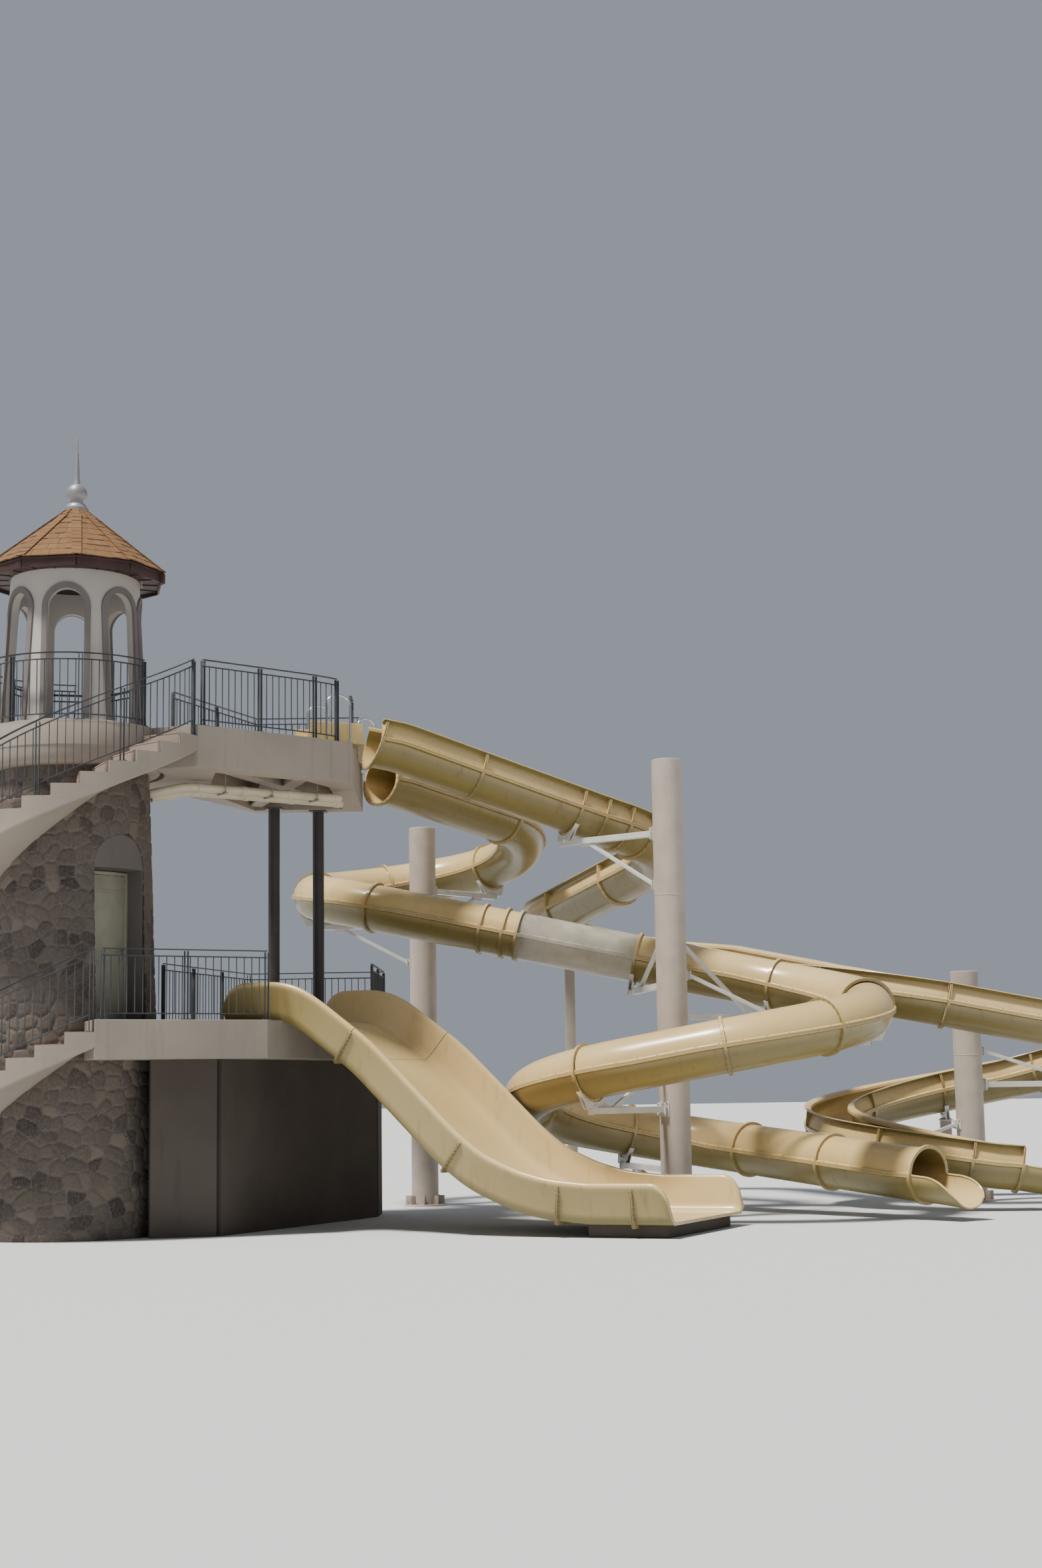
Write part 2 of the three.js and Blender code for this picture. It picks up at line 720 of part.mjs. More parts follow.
function openSection() {
  const outside = ringOf(FLUME_RADIUS).slice(FLUME_SIDES / 2);
  const inside = ringOf(FLUME_RADIUS - FLUME_WALL).slice(FLUME_SIDES / 2);
  return shapeOf([
    ...outside,
    ...seamTab(1),
    ...OPEN_SIDE,
    ...OPEN_INSIDE,
    ...inside.reverse(),
    ...mirrored(OPEN_INSIDE),
    ...mirrored(OPEN_SIDE),
    ...seamTab(-1),
  ]);
}

function jointSection(open) {
  const outside = ringOf(FLUME_RADIUS + JOINT_REACH);
  const inside = ringOf(FLUME_RADIUS - FLUME_WALL / 2);
  if (!open) {
    const shape = shapeOf(outside);
    shape.holes.push(pathOf(inside.reverse()));
    return shape;
  }
  const half = FLUME_SIDES / 2;
  const fin = [
    [outside[0][0] * 0.99, outside[0][1]],
    [FLUME_RADIUS * 0.98, LIP_HEIGHT - 20],
    [FLUME_RADIUS * 0.75, FLUME_RADIUS * 0.62],
    inside[0],
  ];
  return shapeOf([
    ...outside.slice(half),
    ...fin,
    ...inside.slice(half).reverse(),
    ...mirrored(fin),
  ]);
}

const sections = { closed: closedSection(), open: openSection() };
const joints = { closed: jointSection(false), open: jointSection(true) };

function flume(name, route, kind, [from, to], material, site) {
  const start = from + GAP / 2;
  const shell = alongRoute(route, sections[kind], start, to - GAP / 2);
  const ring = alongRoute(route, joints[kind], start, start + JOINT_LENGTH);
  const parts = [shell, ring];
  if (to === route.length) parts.push(exitTrough(route));
  return piece(name, joined(parts), material, site);
}

// The last trough below the mouth: its sides sweep down to the lip over the pool.
function exitTrough(route) {
  const mouth = frameAt(route, route.length);
  const overlap = 5;
  const block = new THREE.BoxGeometry(1, 1, 1, 10, 1, 6);
  return reshaped(block, (p) => {
    const t = Math.min(1, p.z + 0.5);
    const sweep = THREE.MathUtils.lerp(180, EXIT_SWEEP, 1 - Math.sqrt(1 - t * t));
    const angle = THREE.MathUtils.degToRad(-90 + sweep * p.x);
    const outer = FLUME_RADIUS * (1 + EXIT_FLARE * t * t);
    const radius = p.y > 0 ? outer - EXIT_SKIN : outer;
    const along = EXIT_LENGTH * t - overlap;
    const centre = mouth.centre.clone().addScaledVector(mouth.forward, along);
    const across = radius * Math.cos(angle);
    const rise = radius * Math.sin(angle) + (outer - FLUME_RADIUS) * 0.9;
    return centre.addScaledVector(mouth.left, across).add(new THREE.Vector3(0, 0, rise)).toArray();
  });
}

// A cradle that fits round the underside of a joint, on the column's side of it.
function cradle(route, station) {
  const inside = FLUME_RADIUS + JOINT_REACH + CRADLE_CLEARANCE;
  const half = FLUME_SIDES / 2;
  const low = (radius) => ringOf(radius).slice(half + 1, FLUME_SIDES - 1);
  const outline = [...low(inside + CRADLE_THICKNESS), ...low(inside).reverse()];
  return alongRoute(route, shapeOf(outline), station, station + JOINT_LENGTH);
}

// The middle of the cradle's lowest part.
function underside(route, station) {
  const { centre, up } = frameAt(route, station + JOINT_LENGTH / 2);
  const drop = FLUME_RADIUS + JOINT_REACH + CRADLE_THICKNESS / 2;
  return centre.clone().addScaledVector(up, -drop).toArray();
}

const UPPER_ROUTE = makeRoute([
  { xy: [-2430, -462], seam: 7880 },
  { xy: [3000, 1800], radius: 1600, seam: 6250 },
  { xy: [-600, 8900], radius: 1800, seam: 5200 },
  { xy: [3500, 9250], radius: 1800, seam: 4760 },
  { xy: [5600, 2000], radius: 2200, seam: 3780 },
  { xy: [10600, 2000], radius: 1750, seam: 2900 },
  { xy: [10600, 5500], radius: 1750, seam: 2420 },
  { xy: [5400, 5500], radius: 2450, seam: 1640 },
  { xy: [5400, 600], radius: 2450, seam: 1080 },
  { xy: [8150, 600], seam: 700 },
]);
const LOWER_ROUTE = makeRoute([
  { xy: [-2471.5, 1928.5], seam: 7560 },
  { xy: [0, 4400], radius: 1950, seam: 6980 },
  { xy: [0, 7300], radius: 1950, seam: 6480 },
  { xy: [-3900, 7300], radius: 1950, seam: 6010 },
  { xy: [-3900, 3380], radius: 1950, seam: 5600 },
  { xy: [3200, 2200], radius: 2400, seam: 4080 },
  { xy: [5600, 1750], radius: 2400, seam: 3640 },
  { xy: [5600, -3050], radius: 2250, seam: 3000 },
  { xy: [50, -1550], radius: 2250, seam: 2220 },
  { xy: [50, 2400], radius: 2250, seam: 1580 },
  { xy: [3010, 2400], radius: 1450, seam: 1150 },
  { xy: [6250, -1600], seam: 660 },
]);

// Stations at which a slide is divided: most of them rest on an arm or a post.
const UPPER_BREAKS = [0, 3560, 9810, 14500, 19500, 23600, 27950, 31700, 35550, UPPER_ROUTE.length];
const LOWER_BREAKS = [0, 6000, 10500, 15750, 17850, 22800, 28865, 34000, LOWER_ROUTE.length];
const CLEAR_SECTION = 4;

function buildSlides(site) {
  for (let i = 1; i < UPPER_BREAKS.length; i += 1) {
    const stretch = [UPPER_BREAKS[i - 1], UPPER_BREAKS[i]];
    flume("open_slide_" + i, UPPER_ROUTE, "open", stretch, gelcoat, site);
  }
  for (let i = 1; i < LOWER_BREAKS.length; i += 1) {
    const stretch = [LOWER_BREAKS[i - 1], LOWER_BREAKS[i]];
    const clear = i === CLEAR_SECTION;
    const name = clear ? "tube_slide_clear" : "tube_slide_" + i;
    const material = clear ? clearGelcoat : gelcoat;
    flume(name, LOWER_ROUTE, "closed", stretch, material, site);
  }
}

// Columns with their arms: the main one stands inside the tube slide's last turns.
function columnWithArms(name, x, y, top, arms, site) {
  const parts = [upright(COLUMN_RADIUS, 0, top, x, y, 20)];
  for (const { route, station, brace } of arms) {
    const seat = underside(route, station);
    const [seatX, seatY, seatZ] = seat;
    const level = seatZ - 0.7 * ARM_SIZE;
    parts.push(cradle(route, station));
    parts.push(bar([x, y, level], [seatX, seatY, level], ARM_SIZE));
    parts.push(bar([seatX, seatY, level - ARM_SIZE / 2], seat, ARM_SIZE * 0.9));
    const braceX = THREE.MathUtils.lerp(x, seatX, BRACE_REACH);
    const braceY = THREE.MathUtils.lerp(y, seatY, BRACE_REACH);
    parts.push(bar([x, y, level + brace], [braceX, braceY, level], ARM_SIZE * 0.7));
  }
  piece(name, joined(parts), columnSteel, site);
}

function buildColumns(site) {
  columnWithArms(
    "main_column",
    2400,
    -500,
    7440,
    [
      { route: UPPER_ROUTE, station: 3560, brace: -850 },
      { route: LOWER_ROUTE, station: 17850, brace: 900 },
      { route: LOWER_ROUTE, station: 22800, brace: 900 },
      { route: LOWER_ROUTE, station: 28865, brace: 700 },
      { route: LOWER_ROUTE, station: 34000, brace: -350 },
    ],
    site,
  );
  columnWithArms(
    "back_column",
    -1900,
    5200,
    7070,
    [
      { route: LOWER_ROUTE, station: 6000, brace: -700 },
      { route: LOWER_ROUTE, station: 10500, brace: -700 },
    ],
    site,
  );
  columnWithArms(
    "right_column",
    8000,
    3700,
    4110,
    [
      { route: UPPER_ROUTE, station: 27950, brace: 600 },
      { route: UPPER_ROUTE, station: 35550, brace: 600 },
    ],
    site,
  );
}

// Slim posts stand right below a joint and carry it on a cradle.
function buildPosts(site) {
  const posts = [
    ["post_middle", UPPER_ROUTE, 9810],
    ["post_right", UPPER_ROUTE, 31700],
  ];
  for (const [name, route, station] of posts) {
    const [x, y, z] = underside(route, station);
    const stem = box(POST_SIZE, POST_SIZE, z, x, y, 0);
    piece(name, joined([stem, cradle(route, station)]), columnSteel, site);
  }
}

// Family slide: the floor line falls in the slide's own upright plane, and the section is
// drawn out along it.
const FAMILY_START = [-3840, -2900]; // foot of the near wall's rim at the platform's edge
const FAMILY_HEADING = -23.3;
const FAMILY_LINE = [
  [-850, 3225.5],
  [170, 3225.5],
  [430, 3085],
  [750, 2850],
  [1340, 2420],
  [2710, 1090],
  [3210, 710],
  [3820, 440],
  [4380, 290],
  [5030, 225],
  [6040, 225],
  [6170, 225],
  [6270, 225],
  [6340, 225],
];
const FAMILY_BREAKS = [-850, 1100, 4600, 6340];
const FAMILY_NOSE = 300; // length of the quarter curve in which the walls drop to the lip

function familyHeight(along) {
  let i = 1;
  while (i < FAMILY_LINE.length - 1 && along > FAMILY_LINE[i][0]) i += 1;
  const [a, b] = [FAMILY_LINE[i - 1], FAMILY_LINE[i]];
  return THREE.MathUtils.mapLinear(along, a[0], b[0], a[1], b[1]);
}

function familyFrame(along) {
  const first = FAMILY_LINE[0][0];
  const last = FAMILY_LINE[FAMILY_LINE.length - 1][0];
  const before = Math.max(first, along - 200);
  const after = Math.min(last, along + 200);
  const slope = Math.atan2(familyHeight(before) - familyHeight(after), after - before);
  const level = along < 200 ? 0 : slope;
  const turn = THREE.MathUtils.degToRad(FAMILY_HEADING);
  const forward = [Math.cos(turn), Math.sin(turn)];
  const base = [
    FAMILY_START[0] + along * forward[0],
    FAMILY_START[1] + along * forward[1],
    familyHeight(along),
  ];
  const fromEnd = last - along;
  const nose = Math.min(1, fromEnd / FAMILY_NOSE);
  const rim = Math.sqrt(1 - (1 - nose) ** 2);
  return { base, forward, slope: level, rim };
}

const FAMILY_SIDE = [
  [150, -45],
  [70, 20],
  [-15, 490],
  [0, 530],
  [40, 540],
  [75, 520],
  [95, 470],
  [165, 70],
  [270, 0],
];

function familySection() {
  const near = FAMILY_SIDE.map(([x, y]) => [x, y]);
  const far = FAMILY_SIDE.map(([x, y]) => [FAMILY_WIDTH - x, y]).reverse();
  return shapeOf([...near, ...far].reverse());
}

function familyPart(from, to) {
  const stations = [from];
  for (const [along] of FAMILY_LINE) {
    if (along > from + 60 && along < to - 60) stations.push(along);
  }
  stations.push(to);
  const steps = stations.length - 1;
  const frames = stations.map(familyFrame);
  const run = new THREE.ExtrudeGeometry(familySection(), {
    depth: 1,
    steps,
    bevelEnabled: false,
  });
  return reshaped(run, (p) => {
    const { base, forward, slope, rim } = frames[Math.round(p.z * steps)];
    const rise = p.y > 0 ? p.y * rim : p.y;
    const ahead = rise * Math.sin(slope);
    const left = [-forward[1], forward[0]];
    return [
      base[0] + left[0] * p.x + forward[0] * ahead,
      base[1] + left[1] * p.x + forward[1] * ahead,
      base[2] + rise * Math.cos(slope),
    ];
  });
}

function buildFamilySlide(site) {
  for (let i = 1; i < FAMILY_BREAKS.length; i += 1) {
    const from = FAMILY_BREAKS[i - 1] + GAP / 2;
    const to = FAMILY_BREAKS[i] - GAP / 2;
    piece("family_slide_" + i, solidOf(familyPart(from, to)), gelcoat, site);
  }
  const turn = THREE.MathUtils.degToRad(FAMILY_HEADING);
  const plinthTop = FAMILY_LINE[FAMILY_LINE.length - 1][1] - FAMILY_SKIN - GAP;
  const plinth = box(1200, FAMILY_WIDTH - 500, plinthTop, 5600, FAMILY_WIDTH / 2, 0)
    .rotateZ(turn)
    .translate(FAMILY_START[0], FAMILY_START[1], 0);
  piece("family_slide_plinth", solidOf(plinth), plaster, site);
}

// Tubs in which riders sit before they let go, with a grab hoop over each.
function buildStarts(site) {
  const starts = [
    ["open_slide", UPPER_ROUTE],
    ["tube_slide", LOWER_ROUTE],
  ];
  for (const [name, route] of starts) {
    const { centre, forward } = frameAt(route, 0);
    const heading = Math.atan2(forward.y, forward.x);
    const height = 350;
    const section = new THREE.Shape();
    section.moveTo(-470, 0);
    section.lineTo(470, 0);
    section.lineTo(440, height);
    section.lineTo(395, height);
    section.absarc(0, 425, 395, -0.19, Math.PI + 0.19, true);
    section.lineTo(-395, height);
    section.lineTo(-440, height);
    section.closePath();
    const tub = new THREE.ExtrudeGeometry(section, {
      depth: TUB_LENGTH,
      bevelEnabled: false,
      curveSegments: 8,
    });
    tub.rotateX(Math.PI / 2).rotateZ(Math.PI / 2).translate(-TUB_LENGTH - TUB_SETBACK, 0, 0);
    tub.rotateZ(heading).translate(centre.x, centre.y, UPPER_FLOOR + GAP);
    piece(name + "_tub", solidOf(tub), gelcoat, site);
  }
}

// Supply pipes below the upper platform
function buildPipes(site) {
  const [tx, ty] = TOWER_AXIS;
  const level = UPPER_FLOOR - UPPER_SLAB - 130;
  const parts = [0, 260].flatMap((offset) => {
    const from = [tx + 1250, ty + 350 + offset, level];
    const turn = [tx + 1700, ty + 500 + offset, level];
    const to = [-3000, -300 + offset, level];
    return [bar(from, turn, 110), bar(turn, to, 110)];
  });
  const [x, y] = [tx + 1800, ty + 650];
  parts.push(box(60, 400, 60, x, y, level - 80));
  parts.push(box(60, 60, 200 - GAP, x, y + 140, level - 70));
  piece("supply_pipes", joined(parts), gelcoat, site);
}

const site = new THREE.Group();
const tower = new THREE.Group();
tower.position.set(TOWER_AXIS[0], TOWER_AXIS[1], 0);
site.add(tower);
buildDrum(tower);
buildGallery(tower);
buildLantern(tower);
buildRoof(tower);
buildStairs(tower);
buildCurvedRailings(tower);
buildPlatforms(site);
buildPlatformRailings(site);
buildStarts(site);
buildPipes(site);
buildSlides(site);
buildColumns(site);
buildPosts(site);
buildFamilySlide(site);

// The part's origin is the middle of its footprint.
const bounds = new THREE.Box3().setFromObject(site, true);
const middle = bounds.getCenter(new THREE.Vector3());
site.position.set(-middle.x, -middle.y, -bounds.min.z);
const waterSlideTower = new THREE.Group();
waterSlideTower.add(site);

export default waterSlideTower;
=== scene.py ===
import math
import random

import bpy
from mathutils import Matrix, Vector
from mathutils.kdtree import KDTree


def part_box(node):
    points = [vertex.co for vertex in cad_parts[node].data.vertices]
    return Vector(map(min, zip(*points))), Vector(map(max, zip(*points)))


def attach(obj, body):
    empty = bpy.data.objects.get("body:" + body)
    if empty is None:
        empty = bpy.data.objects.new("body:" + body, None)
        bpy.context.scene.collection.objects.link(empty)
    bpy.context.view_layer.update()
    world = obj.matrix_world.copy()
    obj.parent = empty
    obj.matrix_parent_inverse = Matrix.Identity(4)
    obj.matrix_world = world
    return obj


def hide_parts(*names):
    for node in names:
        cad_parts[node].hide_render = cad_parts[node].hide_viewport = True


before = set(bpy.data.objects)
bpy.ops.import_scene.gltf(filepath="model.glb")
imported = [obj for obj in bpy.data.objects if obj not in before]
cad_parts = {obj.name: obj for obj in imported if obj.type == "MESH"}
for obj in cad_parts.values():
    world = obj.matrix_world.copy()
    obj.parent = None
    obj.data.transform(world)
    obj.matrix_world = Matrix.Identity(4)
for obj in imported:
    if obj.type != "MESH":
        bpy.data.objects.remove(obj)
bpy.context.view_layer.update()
random.seed(11)

# The site's own grid: the tower's axis is at (-6.98, -2.45) of it.
finialLow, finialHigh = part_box("roof_finial")
site = Vector(((finialLow.x + finialHigh.x) / 2 + 6.98, (finialLow.y + finialHigh.y) / 2 + 2.45, 0))
towerAxis = site + Vector((-6.98, -2.45, 0))
print("frame loaded, site at", tuple(round(v, 4) for v in site))


# Camera at the poolside
view = {"eye": (0, -36, 2.0), "pitch": 8.138, "roll": 0.888, "lens": 50, "filmHeight": 36, "far": 400}

camera = bpy.data.objects.new("poolside camera", bpy.data.cameras.new("poolside camera"))
camera.data.sensor_fit = "VERTICAL"
camera.data.sensor_height = view["filmHeight"]
camera.data.lens = view["lens"]
camera.data.clip_end = view["far"]
camera.matrix_world = (
    Matrix.Translation(site + Vector(view["eye"]))
    @ Matrix.Rotation(math.radians(90 + view["pitch"]), 4, "X")
    @ Matrix.Rotation(math.radians(-view["roll"]), 4, "Z")
)
bpy.context.scene.collection.objects.link(camera)
bpy.context.scene.camera = camera


def deselectAll():
    for thing in bpy.context.selected_objects:
        thing.select_set(False)


def selectOnly(*things):
    deselectAll()
    for thing in things:
        thing.select_set(True)
    bpy.context.view_layer.objects.active = things[0]


deselectAll()


# Shader maths: an expression on sockets adds its Math nodes
class Socket:
    def __init__(self, finish, output):
        self.finish = finish
        self.output = output

    def calc(self, operation, first, second):
        return self.finish.add("ShaderNodeMath", {"operation": operation}, {0: first, 1: second})

    def __add__(self, other):
        return self.calc("ADD", self, other)

    def __radd__(self, other):
        return self.calc("ADD", other, self)

    def __sub__(self, other):
        return self.calc("SUBTRACT", self, other)

    def __mul__(self, other):
        return self.calc("MULTIPLY", self, other)

    def between(self, low, high):  # 0 at low, 1 at high, clamped
        links = {0: self, 1: low, 2: high}
        return self.finish.add("ShaderNodeMapRange", {"interpolation_type": "SMOOTHSTEP"}, links)


class Finish:
    sockets = {"color": "Base Color", "roughness": "Roughness", "metallic": "Metallic", "ior": "IOR"}
    sockets.update(specular="Specular IOR Level", coat="Coat Weight", coatRoughness="Coat Roughness")
    sockets.update(alpha="Alpha", normal="Normal")

    def __init__(self, name, **constants):
        self.material = bpy.data.materials.new(name)
        self.material.use_nodes = True
        self.tree = self.material.node_tree
        self.shader = self.tree.nodes["Principled BSDF"]
        self.use(**constants)
        self.place = self.add("ShaderNodeTexCoord", output="Object")

    def use(self, **values):
        for key, value in values.items():
            self.feed(self.shader.inputs[self.sockets[key]], value)
        return self.material

    def feed(self, socket, value):
        if isinstance(value, Socket):
            self.tree.links.new(value.output, socket)
        elif socket.type == "RGBA":
            socket.default_value = (*value, 1)
        else:
            socket.default_value = value

    def add(self, kind, settings=None, links=None, output=0):
        node = self.tree.nodes.new(kind)
        for key, value in (settings or {}).items():
            setattr(node, key, value)
        for key, value in (links or {}).items():
            self.feed(node.inputs[key], value)
        return Socket(self, node.outputs[output])

    def mapped(self, **changes):
        return self.add("ShaderNodeMapping", links={"Vector": self.place, **changes})

    def noise(self, scale, detail=3, roughness=0.55, stretch=None):
        vector = self.mapped(Scale=stretch) if stretch else self.place
        links = {"Vector": vector, "Scale": scale, "Detail": detail, "Roughness": roughness}
        return self.add("ShaderNodeTexNoise", links=links)

    def mark(self, attribute):
        return self.add("ShaderNodeAttribute", {"attribute_name": attribute}, output="Fac")

    def ramp(self, attribute, tones):
        color = self.add("ShaderNodeValToRGB", links={0: self.mark(attribute)})
        stops = color.output.node.color_ramp.elements
        for _ in tones[2:]:
            stops.new(0.5)
        for stop, (position, tone) in zip(stops, tones):
            stop.position = position
            stop.color = (*tone, 1)
        return color

    def mix(self, share, first, second):
        links = {0: share, 6: first, 7: second}
        return self.add("ShaderNodeMix", {"data_type": "RGBA"}, links, output=2)

    def upward(self):
        normal = self.add("ShaderNodeNewGeometry", output="Normal")
        return self.add("ShaderNodeSeparateXYZ", links={0: normal}, output="Z")

    def bump(self, height, distance, strength):
        links = {"Height": height, "Distance": distance, "Strength": strength}
        return self.add("ShaderNodeBump", links=links)


def gelcoatFinish(name, light, dark, under):
    finish = Finish(name, coat=0.2, coatRoughness=0.1)
    down = finish.upward() * -1
    cloud = finish.noise(2.2, 5, 0.6)
    runs = finish.noise(1.0, 4, 0.6, (9, 9, 0.8))
    color = finish.mix(finish.noise(0.35, 2).between(0.35, 0.65), light, dark)
    color = finish.mix(cloud.between(0.55, 0.8) * 0.18, color, dark)
    # Painted shade and painted reflection: faces that look down are mixed towards the dark olive under
    # colour.
    color = finish.mix(down.between(-0.25, 0.42) * 0.92, color, under)
    # Streaks from the runs noise, weighted to faces that look down: dirt, darkened further there as painted
    # shade.
    grimeAndShade = runs.between(0.52, 0.78) * down.between(-0.75, 0.3) * 0.35
    color = finish.mix(grimeAndShade, color, (under[0] * 0.55, under[1] * 0.52, under[2] * 0.5))
    rough = 0.2 + cloud * 0.16 + grimeAndShade * 0.3 + down.between(0.0, 0.8) * 0.15
    fine = finish.noise(260, 2) * 0.25 + finish.noise(14, 3)
    return finish.use(color=color, roughness=rough, normal=finish.bump(fine, 0.0011, 0.35))


# Render with rain runs; a tile size lays slabs on the faces that look up.
def plasterFinish(name, light, dark, stain, runs=(0.6, 0.56, 0.85, 0.35), tile=None):
    finish = Finish(name, specular=0.3)
    patch = finish.noise(3.5, 6, 0.65)
    drips = finish.noise(1.0, 5, 0.6, (7, 7, runs[0]))
    color = finish.mix(finish.noise(0.6, 3).between(0.3, 0.7), light, dark)
    color = finish.mix(patch.between(0.5, 0.85) * 0.3, color, dark)
    color = finish.mix(drips.between(runs[1], runs[2]) * runs[3], color, stain)
    grain = finish.noise(120, 4, 0.7) + finish.noise(22, 3) * 0.6
    rough = 0.78 + patch * 0.15
    if tile:
        joints = {"Vector": finish.mapped(Rotation=(0, 0, 0.3)), "Scale": 1 / tile, "Mortar Size": 0.02}
        joints.update({"Brick Width": 1.0, "Row Height": 1.0, "Mortar": (0.10, 0.09, 0.08)})
        joints.update({"Color1": (0.20, 0.17, 0.14), "Color2": (0.27, 0.23, 0.19)})
        slabs = finish.add("ShaderNodeTexBrick", {"offset": 0.0}, joints)
        joint = finish.add("ShaderNodeTexBrick", {"offset": 0.0}, joints, "Fac")
        upward = finish.upward().between(0.6, 0.9)
        color = finish.mix(upward, color, finish.mix(patch * 0.5, slabs, (0.16, 0.14, 0.12)))
        grain = grain - joint * upward * 2
        rough = 0.75 + patch * 0.15
    return finish.use(color=color, roughness=rough, normal=finish.bump(grain, 0.002, 0.5))


def steelFinish(name, paint, worn, rough, metallic=0.0, scratches=0.2, grain=0.4):
    finish = Finish(name, metallic=metallic)
    cloud = finish.noise(3.0, 5, 0.6)
    runs = finish.noise(1.0, 4, 0.6, (14, 14, 0.9))
    specks = finish.noise(42, 3, 0.7)
    color = finish.mix(cloud.between(0.35, 0.75), paint, worn)
    color = finish.mix(runs.between(0.58, 0.8) * scratches, color, [v * 0.6 for v in worn])
    color = finish.mix(specks.between(0.66, 0.78) * scratches, color, [v * 0.5 for v in worn])
    height = finish.noise(180, 2) * 0.4 + cloud
    rough = rough + cloud * 0.2 - 0.08
    return finish.use(color=color, roughness=rough, normal=finish.bump(height, 0.0008, grain))


def stoneFinish(name):
    finish = Finish(name, specular=0.3)
    tones = [
        (0.0, (0.040, 0.032, 0.031)),
        (0.25, (0.083, 0.067, 0.060)),
        (0.5, (0.113, 0.092, 0.077)),
        (0.75, (0.092, 0.075, 0.069)),
        (1.0, (0.165, 0.136, 0.110)),
    ]
    grit = finish.noise(28, 8, 0.7)
    veins = finish.noise(6, 6, 0.7)
    color = finish.ramp("stoneTone", tones)
    color = finish.mix(grit.between(0.35, 0.75) * 0.45, color, (0.22, 0.18, 0.135))
    color = finish.mix(veins.between(0.56, 0.75) * 0.5, color, (0.045, 0.033, 0.028))
    mortar = finish.mix(grit, (0.115, 0.10, 0.09), (0.18, 0.158, 0.142))
    color = finish.mix(finish.mark("stoneJoint"), color, mortar)
    height = grit * 0.5 + veins * 0.5 + finish.noise(90, 4) * 0.25
    rough = 0.82 + grit * 0.15
    return finish.use(color=color, roughness=rough, normal=finish.bump(height, 0.012, 0.7))


def shingleFinish(name):
    finish = Finish(name, roughness=0.85, specular=0.25)
    # The darkest stop colours the painted shadow strips under the tabs.
    tones = [
        (0.0, (0.05, 0.022, 0.015)),
        (0.35, (0.155, 0.08, 0.037)),
        (0.7, (0.21, 0.112, 0.051)),
        (1.0, (0.262, 0.147, 0.07)),
    ]
    granules = finish.noise(240, 3, 0.8)
    color = finish.ramp("shingleTone", tones)
    color = finish.mix(granules.between(0.4, 0.7) * 0.3, color, (0.31, 0.20, 0.10))
    blots = finish.noise(9, 5, 0.65).between(0.5, 0.75) * 0.4
    color = finish.mix(blots, color, (0.10, 0.048, 0.022))
    return finish.use(color=color, normal=finish.bump(granules, 0.003, 0.8))


def clearFinish(name):
    finish = Finish(name, ior=1.48)
    cloud = finish.noise(1.6, 4, 0.6)
    color = finish.mix(cloud.between(0.3, 0.7), (0.44, 0.41, 0.34), (0.62, 0.58, 0.49))
    return finish.use(color=color, roughness=0.16 + cloud * 0.15, alpha=0.34 + cloud * 0.3)


# The third colour is the painted shade and green reflection on the undersides.
cream = gelcoatFinish("cream gelcoat", (0.68, 0.505, 0.245), (0.6, 0.435, 0.185), (0.16, 0.13, 0.034))
clear = clearFinish("clouded clear acrylic")
renderTones = (0.35, 0.305, 0.255), (0.29, 0.25, 0.21)
plaster = plasterFinish("painted render", *renderTones, (0.20, 0.165, 0.135))
deckPlaster = plasterFinish("deck render", *renderTones, (0.19, 0.155, 0.12), (0.5, 0.52, 0.8, 0.45), 0.3)
lanternPaint = plasterFinish("lantern paint", (0.50, 0.465, 0.425), (0.42, 0.385, 0.35), (0.27, 0.235, 0.205))
band = plasterFinish("arch surround", (0.20, 0.175, 0.165), (0.155, 0.135, 0.13), (0.11, 0.095, 0.09))
# Painted shade: dark grey render for the door's reveal lining and head, which lie in shade inside the
# opening.
doorShadePlaster = plasterFinish("door render in painted shade", (0.17, 0.15, 0.14), (0.13, 0.115, 0.105), (0.09, 0.08, 0.07))
tread = plasterFinish("riser stone", (0.36, 0.29, 0.245), (0.27, 0.21, 0.18), (0.15, 0.115, 0.10))
# Painted shade: a very dark render standing in for the shade under the decks; the family slide's plinth uses
# it too.
paintedShadePlaster = plasterFinish("wall render in painted shade", (0.10, 0.083, 0.07), (0.075, 0.06, 0.05), (0.045, 0.036, 0.03))
stone = stoneFinish("rubble stone")
shingle = shingleFinish("tan shingles")
fascia = steelFinish("eave board", (0.045, 0.016, 0.013), (0.03, 0.011, 0.0095), 0.6)
silver = steelFinish("brushed silver", (0.31, 0.30, 0.315), (0.26, 0.25, 0.265), 0.45, 0.45, 0.1, 0.08)
railPaint = steelFinish("slate rail paint", (0.040, 0.046, 0.054), (0.075, 0.08, 0.086), 0.5)
darkSteel = steelFinish("dark column paint", (0.035, 0.032, 0.03), (0.05, 0.045, 0.045), 0.45)
columnPaint = steelFinish("light column paint", (0.48, 0.415, 0.355), (0.41, 0.35, 0.30), 0.5)
armPaint = steelFinish("white arm paint", (0.66, 0.65, 0.62), (0.55, 0.54, 0.51), 0.4)
galvanised = steelFinish("bolt zinc", (0.40, 0.38, 0.34), (0.22, 0.20, 0.18), 0.45, 0.7)
doorPaint = steelFinish("door paint", (0.33, 0.31, 0.235), (0.28, 0.26, 0.19), 0.5)
pipePaint = steelFinish("pipe paint", (0.62, 0.56, 0.42), (0.50, 0.45, 0.33), 0.45)
chrome = steelFinish("polished tube", (0.72, 0.72, 0.72), (0.62, 0.62, 0.62), 0.2, 1.0, 0.05)
print("finishes made")


# Places and lines
def lift(height):  # straight up
    return Vector((0, 0, height))


def onSite(x, y, z=0.0):
    return site + Vector((x, y, z))


def flatDirection(vector):
    return Vector((vector.x, vector.y, 0)).normalized()


